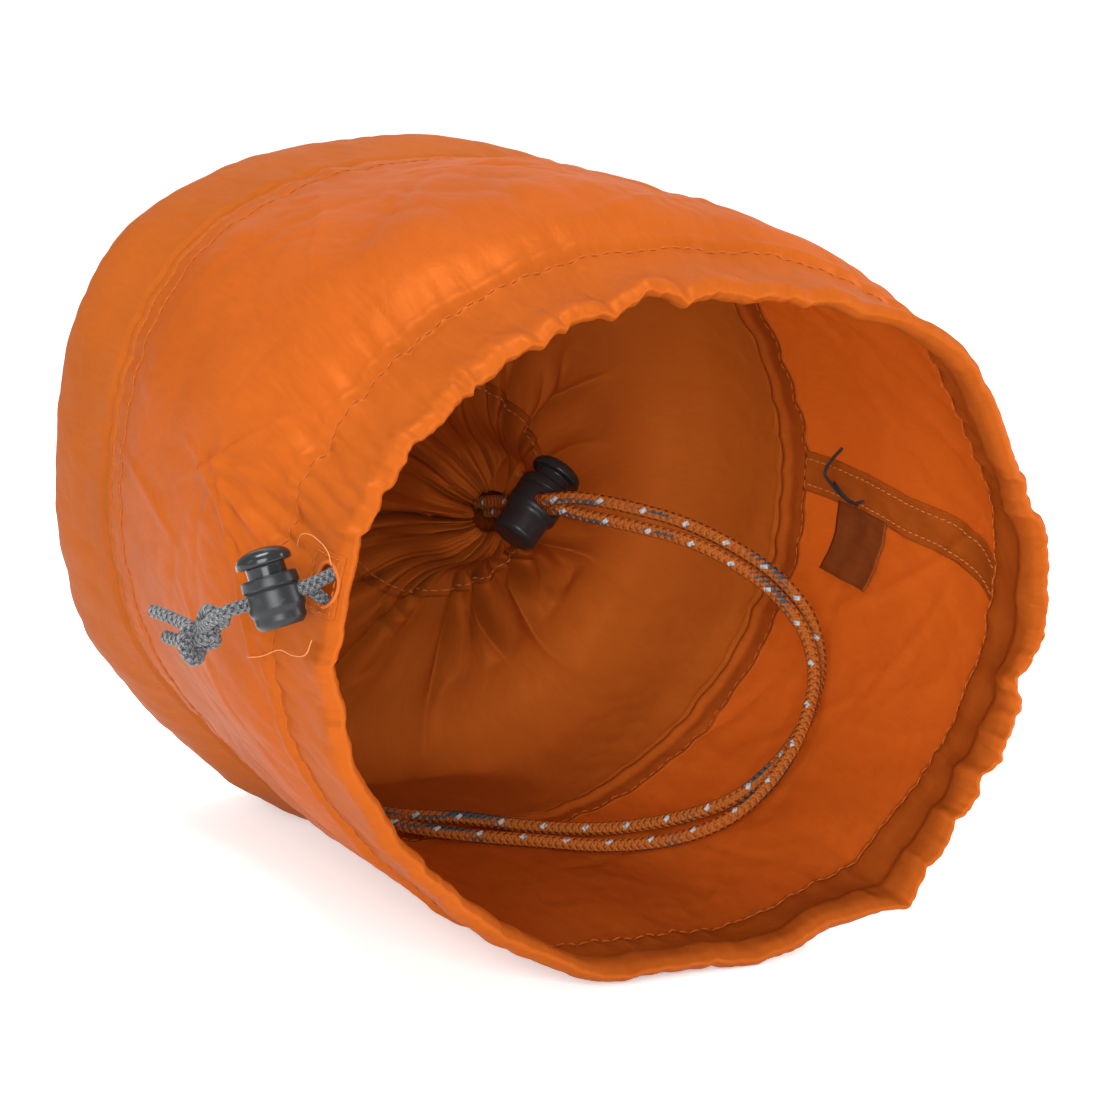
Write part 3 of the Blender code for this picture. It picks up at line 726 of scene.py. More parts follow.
def ruffle_strength(angle):
    turns, strengths = zip(*RUFFLES)
    strength = np.interp(np.degrees(np.asarray(angle)) % 360, turns, strengths)
    flat = 1 - 0.9 * np.exp(-(turn_apart(angle, EXIT_ANGLE) / 0.15) ** 4)
    return strength * np.clip(0.85 + 0.35 * RUFFLE_STRENGTH(angle), 0.3, 1.5) * flat


def crumple(angle, at):
    """Shallow sharp-edged dents all over the cloth."""
    total = 0.0
    for field, height in ((DENTS_BROAD, 0.00042), (DENTS, 0.00022), (DENTS_FINE, 0.00011)):
        total = total + height * (np.sqrt(field(angle, at) ** 2 + 0.02) - 0.8)
    return total


def edge_crease_table():
    """Sharp creases across the mouth's edge: angle, height, width in radians, slant, reach behind it."""
    random = np.random.default_rng(52)
    table = []
    for _ in range(110):
        table.append((random.uniform(0, TAU), random.choice((-1, 1)) * random.uniform(0.0004, 0.0013),
                      math.radians(random.uniform(0.7, 2.0)), random.uniform(-5.0, 5.0),
                      random.uniform(0.006, 0.020)))
    return table


EDGE_CREASES = edge_crease_table()


def edge_creases(angle, at):
    total = 0.0
    for middle, height, width, slant, reach in EDGE_CREASES:
        apart = np.abs(turn_apart(angle, middle) + slant * at) / width
        total = total + (height * np.exp(-np.sqrt(apart ** 2 + 0.06))
                         * bell(np.maximum(at, 0.0), reach))
    return total


def channel_relief(angle, at, face):
    """Ruffles of the channel, strongest at its edge and beside the lock. face is 1 outside, -1 inside."""
    toward_edge = 1 - 0.75 * smooth_step(at, 0.0, HEM_DEPTH)
    small = (0.0004 * RUFFLE(angle, at) * (1 - 0.6 * smooth_step(at, 0.0, 0.012))
             + 0.0003 * RUFFLE_FINE(angle, at) * np.exp(-at / 0.006))
    relief = -(small + 0.0009 * RUFFLE_BROAD(angle, at)) * ruffle_strength(angle) * toward_edge
    bunched = near_lock(angle) * (1 - np.exp(-(turn_apart(angle, EXIT_ANGLE) / 0.15) ** 4))
    relief -= 0.0008 * LOCK_GATHER(angle, at) * bunched * smooth_step(at, 0.0, 0.006)
    relief += edge_creases(angle, at) * np.clip(ruffle_strength(angle), 0.3, 1.2)
    relief += 0.00025 * face * INNER_SWAY(angle, at) * smooth_step(at, 0.001, 0.008)
    return relief + crumple(angle, at)


def corner_relief(angle, at):
    total = 0.0
    for middle, height, width in CORNERS:
        apart = np.abs(turn_apart(angle, math.radians(middle))) / math.radians(width)
        total = total + height * np.exp(-np.sqrt(apart ** 2 + 0.05) * 1.1)
    return total * np.exp(-np.maximum(at, 0.0) / 0.030)


# Where the stuffed-out form leaves its round section: degrees round it, width in degrees, then how far it
# stands out at distances behind the mouth.
FORM_SHIFTS = (
    (137.0, 27.0, (0.045, 0.095, 0.145, 0.190), (0.0, 0.0028, 0.0080, 0.0090)),
    (223.0, 20.0, (0.0, 0.080, 0.145, 0.200), (-0.0030, -0.0034, -0.0050, -0.0046)),
    (70.0, 31.0, (0.026, 0.060, 0.110, 0.145, 0.180), (0.0, -0.0034, -0.0036, -0.0036, -0.0050)),
    (46.0, 14.0, (0.0, 0.030, 0.090), (0.0082, 0.0048, 0.0)),
    (10.0, 16.0, (0.0, 0.030, 0.080), (0.0042, 0.0022, 0.0)),
    (67.0, 9.0, (0.0, 0.030, 0.070), (0.0022, 0.0022, 0.0)),
    (308.0, 8.0, (0.0, 0.020, 0.050), (0.0030, 0.0012, 0.0)),
)


def form_shift(angle, at):
    """How far the form stands out from its round section."""
    total = 0.0
    for middle, width, places, heights in FORM_SHIFTS:
        apart = turn_apart(angle, math.radians(middle)) / math.radians(width)
        total = total + np.interp(at, places, heights) * np.exp(-apart ** 2)
    return total


def tube_form(angle, at, inset):
    """Points of the tube: angle round it, distance behind the mouth, and depth inside the outer face."""
    wide = np.interp(at, PROFILE_STEPS, TUBE_WIDE)
    high = np.interp(at, PROFILE_STEPS, TUBE_HIGH)
    shift = form_shift(angle, at)
    x = (wide + shift - inset) * np.cos(angle)
    z = high - FLAT_SINK + (high + shift - inset) * np.sin(angle)
    lowest = np.maximum(inset, 0.0) * 0.9 + LOWEST
    return np.stack([x, MOUTH_Y + at, above_floor(z, lowest)], -1)


def panel_points(angle, at, inset=0.0, share=0.0, face=1.0):
    """Points of the tube's cloth. share is the part of the channel's ruffles, 0 from its stitch line on."""
    angle, at, inset, share, face = np.broadcast_arrays(angle, at, inset, share, face)
    relief = (1 - share) * (body_relief(angle, np.maximum(at, HEM_DEPTH)) + lap_relief(angle, at))
    relief = relief + share * channel_relief(angle, at, face) + corner_relief(angle, at)
    return tube_form(angle, at + edge_sway(angle, at) * share, inset - relief)


def edge_sway(angle, at):
    """How far the folded edge wanders along the sack."""
    ruffle = 0.0006 * RUFFLE_BROAD(angle) + 0.0002 * RUFFLE(angle) + 0.9 * edge_creases(angle, 0.0)
    sway = 0.0006 * EDGE_SWAY(angle) - ruffle * ruffle_strength(angle)
    return sway * np.exp(-np.maximum(at, 0.0) / 0.007)


# Path of the panel's cloth from the hem's raw edge, forward inside, round the mouth's fold, and back outside:
# distance behind the mouth, depth inside the outer face, share of the channel's ruffles, face.
PANEL_PATH = (
    (HEM_DEPTH + 0.0024, 0.0022, 0.0, -1), (HEM_DEPTH + 0.0012, 0.0013, 0.0, -1),
    (HEM_DEPTH, 0.0010, 0.0, -1),
    (HEM_DEPTH - 0.0030, 0.0014, 0.2, -1), (0.0200, 0.0020, 0.6, -1), (0.0140, 0.0032, 0.9, -1),
    (0.0095, 0.0052, 1.0, -1), (0.0060, 0.0055, 1.0, -1), (0.0030, 0.0052, 1.0, -0.8),
    (0.0010, 0.0042, 1.0, -0.4), (0.0000, 0.0033, 1.0, 0), (0.0010, 0.0023, 1.0, 0.4),
    (0.0030, 0.0010, 1.0, 0.8), (0.0060, 0.0006, 1.0, 1), (0.0100, 0.0006, 1.0, 1),
    (0.0140, 0.0006, 0.9, 1),
    (0.0200, 0.0004, 0.6, 1), (HEM_DEPTH - 0.0030, 0.0001, 0.3, 1), (HEM_DEPTH - 0.0008, 0.0, 0.0, 1),
    (HEM_DEPTH, 0.0, 0.0, 1),
)


def channel_outside(at):
    """Depth of the channel's outer face."""
    rows = [row[:2] for row in PANEL_PATH[10:]]
    return np.interp(at, *zip(*rows))


def panel_rows():
    """Distance, depth, ruffle share and face of the panel's rows, closer together where the cloth turns."""
    steps = np.array(PANEL_PATH)
    steps[:, 2:] *= 0.001
    extra = steps[:, 3:]
    lengths = distances(steps[:, :3])
    route = smooth_route(steps[:, :3], 0.00062)
    along = distances(route)
    face = np.interp(along / along[-1], lengths / lengths[-1], extra[:, 0]) / 0.001
    rows = [(at, inset, max(0.0, share / 0.001), side) for (at, inset, share), side in zip(route, face)]
    close = np.arange(HEM_DEPTH + 0.0004, HEM_DEPTH + 0.0056, 0.0004)
    broad = np.arange(HEM_DEPTH + 0.0060, SEAM_AT - SEAM_LAP - 0.0034, 0.0011)
    lap = np.arange(SEAM_AT - SEAM_LAP - 0.0030, SEAM_AT - 0.0001, 0.0005)
    rows += [(at, 0.0, 0.0, 1.0) for at in (*close, *broad, *lap, SEAM_AT)]
    return np.array(rows).T


AROUND = 840
ANGLES = np.arange(AROUND) * TAU / AROUND
WIDTHS = np.arange(AROUND + 1) * TAU * SEAM_HALF_WIDTH / AROUND
SLIT_LONG = 0.0052
SLIT_WIDE = 0.0042
EXIT_RADIUS = 0.0905
PATCH_HALF_WIDTH = 0.0078


def slit_space(angle, at):
    """Under 1 inside the opening through which the mouth's cord leaves its channel."""
    return np.hypot(turn_apart(angle, EXIT_ANGLE) * EXIT_RADIUS / SLIT_LONG, (at - EXIT_Y) / SLIT_WIDE)


def sack_panel(material):
    at, inset, share, face = panel_rows()
    points = panel_points(ANGLES[None, :], at[:, None], inset[:, None], share[:, None], face[:, None])
    lengths = distances(points[:, 0])
    keep = ~((slit_space(ANGLES[None, :], at[:, None]) < 1) & (face[:, None] > 0.3))
    made = sheet("sack_panel", points, lengths, WIDTHS, material, flip=True, keep=keep)
    return on_sack(made, "body_tube", "mouth_hem", slot="sack_nylon")


def sleeve_rows():
    steps = [(behind, share * SEAM_HALF_WIDTH, 0.0) for behind, share in SLEEVE_PROFILE + END_CHANNEL]
    route = smooth_route(steps, 0.0010)
    start = [(step, SEAM_HALF_WIDTH, 0.0) for step in np.arange(0.0, 0.0060, 0.0005)]
    lengths = route[:, 0]
    route = np.concatenate([start, route[np.argmax(lengths > 0.0060):]])
    return route[:, 0], route[:, 1] / SEAM_HALF_WIDTH


def sleeve_form(angle, behind, share):
    """Points of the end sleeve before its folds."""
    middle = SEAM_HALF_HEIGHT - FLAT_SINK
    drift = np.maximum(0.0, 1.0 - share) ** 1.5
    shift = form_shift(angle, SEAM_AT + behind) * smooth_step(share, 0.45, 1.0)
    x = GATHER_X * drift + (SEAM_HALF_WIDTH * share + shift) * np.cos(angle)
    seam_z = above_floor(middle + (SEAM_HALF_HEIGHT + shift) * np.sin(angle), LOWEST)
    z = above_floor(middle + (GATHER_Z - middle) * drift + (seam_z - middle) * share, LOWEST)
    corner = bell(turn_apart(angle, math.radians(137)), math.radians(34))
    behind = behind + 0.0045 * corner * smooth_step(behind, 0.010, 0.050) * smooth_step(share, 0.35, 0.80)
    return np.stack([x, SEAM_Y + behind, z], -1)


GATHER_FINE = pleats(31, 41, 3.0, round_top=0.10)
GATHER_MAIN = pleats(32, 19, 4.6, round_top=0.06)
GATHER_BROAD = pleats(33, 12, 2.6, round_top=0.16)
GATHER_REACH = waves(36, 7, 3, 12)
GATHER_DEPTH = waves(37, 8, 4, 14)
SLEEVE_SWELL = waves(34, 6, 2, 5, along=14.0)
# Long soft folds that run out from the gather: direction in degrees, width in degrees, depth, where it fades.
LONG_FOLDS = (
    (40.0, 4.0, 0.0036, 0.85), (22.0, 3.6, 0.0030, 0.80), (2.0, 4.0, 0.0018, 0.75),
    (-16.0, 3.4, 0.0026, 0.80), (-31.0, 3.6, 0.0034, 0.90), (-47.0, 3.8, 0.0040, 0.95),
    (-63.0, 3.2, 0.0034, 0.85), (-80.0, 3.6, 0.0038, 0.95),
    (-103.0, 4.0, 0.0042, 0.95), (-128.0, 3.8, 0.0034, 0.80), (-152.0, 4.5, 0.0032, 0.85),
    (168.0, 4.5, 0.0026, 0.80), (138.0, 4.5, 0.0034, 0.85), (112.0, 4.5, 0.0030, 0.80),
    (86.0, 4.5, 0.0032, 0.85), (63.0, 4.0, 0.0028, 0.80),
)


def gather_relief(angle, share):
    """How far the sleeve's folds stand out, away from the inside of the sack."""
    reach = 1 + 0.40 * np.clip(GATHER_REACH(angle), -1.6, 1.8)
    close = bell(np.maximum(share - 0.06, 0.0), 0.31 * reach)
    nearer = bell(np.maximum(share - 0.06, 0.0), 0.15 * reach)
    quiet = 0.70 + 0.30 * smooth_step(np.abs(turn_apart(angle, -0.05)), 0.30, 0.9)
    narrow = np.clip(share / 0.17, 0.28, 1.0)
    bend = 0.16 * np.sin(8 * share) + 0.09 * np.sin(15 * share + 2 * angle) * smooth_step(share, 0.08, 0.20)
    deep = 0.75 + 0.45 * np.clip(GATHER_DEPTH(angle), -1.2, 1.2)
    relief = 0.0056 * GATHER_MAIN(angle + bend) * close * quiet * narrow * deep
    relief += 0.0007 * GATHER_FINE(angle) * nearer * quiet * narrow
    relief -= 0.0036 * smooth_step(share, 0.20, 0.42) * (1 - smooth_step(share, 0.75, 0.97))
    relief += (0.0026 * GATHER_BROAD(angle + 0.10 * np.sin(7 * share)) * smooth_step(share, 0.15, 0.35)
               * (1 - smooth_step(share, 0.6, 0.95)))
    for direction, width, depth, fade in LONG_FOLDS:
        apart = np.degrees(turn_apart(angle, math.radians(direction)))
        bend = apart + 3.5 * np.sin(share * 6.0 + direction)
        rise = smooth_step(share, 0.10, 0.38) * (1 - smooth_step(share, fade - 0.25, fade + 0.10))
        sharp = np.exp(-np.sqrt((bend / width) ** 2 + 0.04) * 1.3) * 1.25
        relief += 2.6 * depth * (sharp - 0.35 * bell(bend, 2.6 * width)) * rise
    return relief


def sleeve_relief(angle, behind, share):
    rim = smooth_step(behind, 0.0, 0.025) * smooth_step(share, 0.55, 0.9)
    relief = 0.0012 * SLEEVE_SWELL(angle, behind) * rim
    relief += seam_relief(angle, behind) * smooth_step(share, 0.97, 0.99)
    relief += crumple(angle, SEAM_AT + behind + (1 - share) * 0.1) * smooth_step(share, 0.1, 0.4)
    return relief + gather_relief(angle, share)


def clear_of_lock(points):
    """Push the folds back from where the end's lock can slide."""
    size = LOCKS["end"]
    put = lock_frame("end")
    to_lock = np.array(put.to_3x3()).T
    room = size["radius"] + 0.0012
    moved = points.copy()
    for slid in np.linspace(0.0, END_SLIDE, 6):
        centre = np.array(put @ Vector((-slid, 0.0, 0.0)))
        local = (moved - centre) @ to_lock.T
        back = to_lock @ np.array([0.0, 1.0, 0.0])
        reach = back[0] ** 2 + back[1] ** 2
        toward = local[..., 0] * back[0] + local[..., 1] * back[1]
        inside = room ** 2 - local[..., 0] ** 2 - local[..., 1] ** 2
        tall = ((local[..., 2] > size["low"] - 0.0015)
                & (local[..., 2] < size["top"] + size["press"] + size["rise"] + 0.0015))
        push = (-toward + np.sqrt(np.maximum(toward ** 2 + reach * inside, 0.0))) / reach
        moved[..., 1] += np.where((inside > 0) & tall, np.maximum(push, 0.0), 0.0)
    return moved


def sleeve_grid(behind, share, angles):
    """Folded points of the end sleeve. Folds move them along Y near the gather, straight out at the rim."""
    angle, behind, share = np.broadcast_arrays(angles[None, :], behind[:, None], share[:, None])
    base = sleeve_form(angle, behind, share)
    rim = smooth_step(share, 0.55, 0.97)[..., None]
    out = np.stack([np.cos(angle), 0 * angle, np.sin(angle)], -1)
    outward = rim * out + (1 - rim) * np.array([0.0, 1.0, 0.0])
    outward /= np.linalg.norm(outward, axis=-1, keepdims=True)
    points = clear_of_lock(base + outward * sleeve_relief(angle, behind, share)[..., None])
    points[..., 2] = np.maximum(points[..., 2], 0.0001)
    points[..., 1] = np.minimum(points[..., 1], 0.1120)
    return points


def end_panel(material):
    behind, share = sleeve_rows()
    points = sleeve_grid(behind, share, ANGLES)
    lengths = distances(points[:, 0])
    made = sheet("end_panel", points, lengths, WIDTHS, material, flip=True)
    return on_sack(made, "end_sleeve", "end_hem", slot="sack_nylon")


def gather_core(material):
    """Bunched cloth that closes the middle of the gather, behind the strands; its darker colour is painted
    shade.
    """
    steps = smooth_route([(0.0320, 0.0075, 0.0), (0.0345, 0.0062, 0.0), (0.0365, 0.0036, 0.0),
                          (0.0395, 0.0004, 0.0)], 0.0005)
    behind = steps[:, 0]
    share = steps[:, 1] / SEAM_HALF_WIDTH
    angles = np.arange(160) * TAU / 160
    angle, behind, share = np.broadcast_arrays(angles[None, :], behind[:, None], share[:, None])
    points = sleeve_form(angle, behind, share)
    points[..., 1] += 0.0012 * GATHER_MAIN(angle) * np.clip(share / 0.06, 0, 1)
    lengths = distances(points[:, 0])
    made = sheet("gather_core", points, lengths, np.arange(161) * 0.001, material)
    return on_sack(made)


def side_middle(at):
    """Angle of the side seam's middle line, which climbs towards the far end."""
    places = (0.028, 0.057, 0.082, 0.108, 0.140)
    return np.radians(np.interp(np.asarray(at), places, (-2.6, -2.3, -1.7, -0.2, 1.6)))


def inside_strip(name, at, middle, half_width, depth, material, across=14):
    """Tape on the tube's inner face: rows along the tube, columns across it, middle in radians."""
    side = np.linspace(-1, 1, across)
    angle = np.asarray(middle)[:, None] + side[None, :] * half_width / SEAM_HALF_WIDTH
    inset = CLOTH + depth + 0.00025 * side[None, :] ** 6
    points = panel_points(angle, at[:, None], inset, 0.0)
    lengths = distances(points[:, across // 2])
    made = sheet(name, points, lengths, side * half_width, material, closed=False)
    return on_sack(made, slot="sack_nylon")


def side_band(material):
    at = np.arange(HEM_DEPTH + 0.0006, SEAM_AT - 0.0080, 0.0009)
    made = inside_strip("side_band", at, side_middle(at), 0.0055, 0.00030, material)
    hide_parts("side_seam_band")
    return made


def seam_tape(material):
    """Felled layer that covers the far seam's raw edges, inside."""
    start = SEAM_AT - SEAM_LAP
    at = np.concatenate([[start - 0.0012], np.arange(start - 0.0008, SEAM_AT + 0.0016, 0.0005)])
    depth = CLOTH + 0.00012 + 0.0003 * smooth_step(at, SEAM_AT - 0.0020, SEAM_AT)
    points = panel_points(ANGLES[None, :], at[:, None], depth[:, None], 0.0)
    made = sheet("seam_tape", points, at - at[0], WIDTHS, material)
    return on_sack(made, "end_seam_band", slot="sack_nylon")


def care_label(material):
    """Blank label, sewn in along its top edge, with its free edge curling off the wall. The label is real;
    its dark colour is painted shade for the shadowed patch below the side band.
    """
    at = np.linspace(0.0925, 0.1175, 26)
    down = np.linspace(0, 1, 16)
    angle = side_middle(at)[:, None] - 0.050 - down[None, :] * math.radians(11.5)
    wavy = 0.0004 * np.sin(at * 310.0)[:, None] + 0.0003 * np.sin(at * 170.0 + 1.0)[:, None]
    inset = CLOTH + 0.0006 + (0.0024 + wavy) * down[None, :] ** 2
    points = panel_points(angle, at[:, None], inset, 0.0)
    made = sheet("label_tag", points, at - at[0], down * 0.018, material, closed=False, thickness=0.0004)
    return on_sack(made, "care_label", slot="label_tape")


def exit_patch(material):
    """Second layer round the opening for the mouth's cord."""
    at = np.arange(0.0014, 0.0142, 0.0004)
    side = np.linspace(-1, 1, 44)
    angle = EXIT_ANGLE + side[None, :] * PATCH_HALF_WIDTH / EXIT_RADIUS + 0 * at[:, None]
    points = panel_points(angle, at[:, None], channel_outside(at[:, None]) - 0.00035, 1.0)
    keep = slit_space(angle, at[:, None]) >= 1
    made = sheet("slit_patch", points, at - at[0], side * PATCH_HALF_WIDTH, material, closed=False, keep=keep,
                 flip=True)
    return on_sack(made, "exit_patch", slot="sack_nylon")


# ---------------------------------------------------------------- stitching and threads

def line_with_normals(surface, angle, at):
    """Points of a line on a surface, and the outward normals there."""
    small = 0.002
    here = surface(angle, at)
    across = surface(angle + small, at) - surface(angle - small, at)
    down = surface(angle, at + 0.0002) - surface(angle, at - 0.0002)
    normals = np.cross(down, across)
    normals /= np.linalg.norm(normals, axis=-1, keepdims=True)
    return here, normals


def resampled(values, along, wanted):
    return np.stack([np.interp(wanted, along, values[:, axis]) for axis in range(values.shape[1])], 1)


def stitches(name, line, normals, material, pitch=0.0031, share=0.74, radius=0.00019, rise=0.00016):
    """One short rounded thread per stitch, dipping into the cloth at both ends."""
    along = distances(line)
    count = int(along[-1] / pitch)
    starts = (np.arange(count) + 0.5) * along[-1] / count
    stations = np.linspace(-0.5, 0.5, 6)
    wanted = starts[:, None] + stations[None, :] * pitch * share
    rings = len(stations)
    centre = resampled(line, along, wanted.ravel()).reshape(count, rings, 3)
    normal = resampled(normals, along, wanted.ravel()).reshape(count, rings, 3)
    normal /= np.linalg.norm(normal, axis=-1, keepdims=True)
    tangent = np.gradient(centre, axis=1)
    tangent /= np.linalg.norm(tangent, axis=-1, keepdims=True)
    side = np.cross(tangent, normal)
    lift = rise * np.cos(stations * math.pi * 1.25) - 0.4 * rise
    centre = centre + normal * lift[None, :, None]
    thick = radius * (0.55 + 0.45 * np.cos(stations * math.pi) ** 0.5)
    sides = 7
    angle = np.arange(sides) * TAU / sides
    ring = (normal[:, :, None, :] * np.cos(angle)[None, None, :, None]
            + side[:, :, None, :] * np.sin(angle)[None, None, :, None])
    points = centre[:, :, None, :] + ring * thick[None, :, None, None]
    faces, rows, columns = grid_faces(rings, sides, True)
    ends = [tuple(range(sides)), tuple(range(rings * sides - 1, (rings - 1) * sides - 1, -1))]
    every = []
    uvs = []
    along_thread = stations * pitch * share
    for stitch in range(count):
        shift = stitch * rings * sides
        every += [tuple(corner + shift for corner in face[::-1]) for face in faces]
        every += [tuple(corner + shift for corner in face) for face in ends]
        pairs = np.stack([along_thread[rows] + stitch * pitch, columns / sides], -1)[:, ::-1].reshape(-1, 2)
        uvs.append(pairs)
        uvs.append(np.zeros((2 * sides, 2)))
    made = finish_mesh(name, points.reshape(-1, 3), every, np.concatenate(uvs), material)
    return on_sack(made)


def stitch_line(name, angle, at, depth, material, pitch, share=0.0, inside=False, lift=0.0, **sizes):
    """Stitches along a line on the panel, at a depth inside its outer face, or a depth for each distance."""
    def surface(angle, at):
        return panel_points(angle, at, depth(at) if callable(depth) else depth, share)
    line, normals = line_with_normals(surface, angle, at)
    stitches(f"stitches_{name}", line + normals * lift, -normals if inside else normals, material,
             pitch=pitch, **sizes)


def all_stitching(pale, plain):
    round_it = np.linspace(0, TAU, 1400)
    on_tape = 2 * CLOTH + 0.00020
    on_band = 2 * CLOTH + 0.00035
    for name, at, depth, pitch, lift in (
        ("channel", HEM_DEPTH + 0.0002, 0.0, 0.0030, 0.0001),
        ("far_seam", SEAM_AT - 0.0014, 0.0, 0.0030, 0.0001),
        ("far_seam_second", SEAM_AT - SEAM_LAP, 0.0, 0.0031, 0.0001),
        ("hem_inside", HEM_DEPTH + 0.0004, 0.0013 + CLOTH, 0.0030, 0.0),
        ("tape_inside", SEAM_AT - SEAM_LAP, on_tape, 0.0031, 0.0),
    ):
        stitch_line(name, round_it, at + 0 * round_it, depth, plain, pitch,
                    inside=name.endswith("inside"), lift=lift)
    along = np.linspace(HEM_DEPTH + 0.002, SEAM_AT - 0.010, 400)
    for number, shift in enumerate((-0.0036, 0.0034)):
        angle = side_middle(along) + shift / SEAM_HALF_WIDTH
        stitch_line(f"band_inside_{number}", angle, along, on_band, pale, 0.0029, inside=True)
        stitch_line(f"band_outside_{number}", angle, along, 0.0, plain, 0.0029)
    hem_circle(pale)
    patch_box(plain)


def hem_circle(material):
    """Stitches that hold the end cord's channel, seen inside."""
    angles = np.linspace(0, TAU, 900)
    rows = np.array([0.0500, 0.0525])
    shares = np.array([0.280, 0.322])
    both = sleeve_grid(rows, shares, angles)
    outer = both[1]
    out = outer - both[0]
    across = np.gradient(outer, axis=0)
    normals = np.cross(out, across)
    normals /= np.linalg.norm(normals, axis=-1, keepdims=True)
    normals *= -np.sign(normals[:, 1:2])
    stitches("stitches_end_hem", outer + normals * 0.00025, normals, material, pitch=0.0031, radius=0.00021)


def patch_box(material):
    """Square of stitches round the cord's opening."""
    wide = 0.0068 / EXIT_RADIUS
    corners = np.array([(-wide, 0.0024), (wide, 0.0024), (wide, 0.0128), (-wide, 0.0128), (-wide, 0.0024)])
    steps = np.linspace(0, 4, 400)
    angle = EXIT_ANGLE + np.interp(steps, range(5), corners[:, 0])
    at = np.interp(steps, range(5), corners[:, 1])
    stitch_line("patch", angle, at, lambda at: channel_outside(at) - 0.0005, material, 0.0022, share=1.0,
                radius=0.00016)
    turn = np.linspace(0, TAU, 160)
    angle = EXIT_ANGLE + 1.04 * SLIT_LONG / EXIT_RADIUS * np.cos(turn)
    at = EXIT_Y + 1.04 * SLIT_WIDE * np.sin(turn)
    line = panel_points(angle, at, channel_outside(at) - 0.0002, 1.0)[:-1]
    made = cord_mesh("slit_binding", line, 0.0010, material, closed=True, sides=10)
    on_sack(made)


def thread(name, points, material, diameter=0.00028):
    made = cord_mesh(name, smooth_route(points, 0.0006), diameter, material, sides=7)
    return on_sack(made)


# Thread ends at the mouth: degrees round it, distance behind it, how far off the cloth.
LOOSE_THREADS = {
    "low": ((-174.6, 0.0372, 0.0004), (-177.5, 0.0290, 0.0016), (179.4, 0.0200, 0.0016),
            (178.4, 0.0110, 0.0022), (177.2, 0.0045, 0.0020), (174.6, 0.0018, 0.0028)),
    "high": ((163.6, 0.0212, 0.0006), (161.6, 0.0180, 0.0020), (160.6, 0.0140, 0.0026),
             (160.4, 0.0090, 0.0026), (161.4, 0.0040, 0.0020), (163.2, 0.0018, 0.0012)),
}
# Threads that fray at the far right: name, diameter, route.
FRAYED_THREADS = (
    ("frayed_thread", 0.0009, (
        (0.0922, 0.1077, 0.1025), (0.0915, 0.1125, 0.0985), (0.0912, 0.1152, 0.0946),
        (0.0918, 0.1110, 0.0915), (0.0922, 0.1065, 0.0898), (0.0922, 0.1010, 0.0890),
        (0.0930, 0.0966, 0.0902),
    )),
    ("frayed_thread_end", 0.0008, (
        (0.0928, 0.1130, 0.0925), (0.0916, 0.1090, 0.0922), (0.0918, 0.1050, 0.0902),
        (0.0930, 0.1000, 0.0885),
    )),
)


def loose_threads(pale, dark):
    def out(degrees, at, lift):
        angle = math.radians(degrees)
        return tuple(panel_points(np.array(angle), np.array(at), -lift, 1.0 if at < HEM_DEPTH else 0.0))
    for name, points in LOOSE_THREADS.items():
        thread(f"loose_thread_{name}", [out(*point) for point in points], pale)
    for name, diameter, points in FRAYED_THREADS:
        thread(name, [place(*point) for point in points], dark, diameter)


# ---------------------------------------------------------------- cords

def lock_frame(which):
    """Placement whose Z runs along a lock's plunger and whose X runs along its cord hole."""
    size = LOCKS[which]
    z_axis = Vector(size["up"]).normalized()
    x_axis = Vector(size["through"])
    x_axis = (x_axis - z_axis * x_axis.dot(z_axis)).normalized()
    y_axis = z_axis.cross(x_axis)
    turn = Matrix((x_axis, y_axis, z_axis)).transposed().to_4x4()
    return Matrix.Translation(place(*size["at"])) @ turn


KNOT_REACH = 0.0078
CORD_GAP = 0.0002
# The mouth cord's ring is a slow helix: how far it climbs, and the angle between its ends and the exit.
RING_PITCH = 0.0034
RING_END = 0.0105 / np.interp(EXIT_Y, *np.array(TUBE_PROFILE).T[[0, 1]])
BEND_BULGE = 0.0010


def ring_point(angle, behind_mouth):
    wide = np.interp(behind_mouth, *np.array(TUBE_PROFILE).T[[0, 1]])
    high = np.interp(behind_mouth, *np.array(TUBE_PROFILE).T[[0, 2]])
    x = (wide - RING_INSET) * math.cos(angle)
    z = high - FLAT_SINK + (high - RING_INSET) * math.sin(angle)
    return place(x, behind_mouth, max(z, RING_INSET))


def mouth_routes():
    """Both strands of the mouth's cord, from its channel through the lock to the knot."""
    put = lock_frame("mouth")
    beside = MOUTH_CORD / 2 + CORD_GAP
    knot_at = place(*MOUTH_KNOT)
    routes = {}
    for strand, side in (("a", 1), ("b", -1)):
        at = EXIT_Y - side * RING_PITCH / 2
        end = EXIT_ANGLE - side * RING_END
        straight = [put @ Vector((along, side * beside, 0.0)) for along in (-0.0070, 0.0, 0.0060, 0.0105)]
        onward = (straight[-1] - straight[-2]).normalized()
        leaving = put @ Vector((0.0105, 0.0, 0.0))
        approach = (knot_at - leaving).normalized()
        outward = (onward - approach * onward.dot(approach)).normalized()
        apart = beside + CORD_GAP
        halfway = (outward + put.to_3x3() @ Vector((0.0, 1.0, 0.0))).normalized()
        landing = knot_at - approach * KNOT_REACH + outward * side * apart
        middle = ((leaving + knot_at - approach * KNOT_REACH) / 2 + onward * BEND_BULGE
                  + halfway * side * apart)
        inner = [ring_point(end, at), ring_point(end + side * RING_END * 0.45, at)]
        routes[strand] = [*inner, *straight, middle, landing]
    return routes


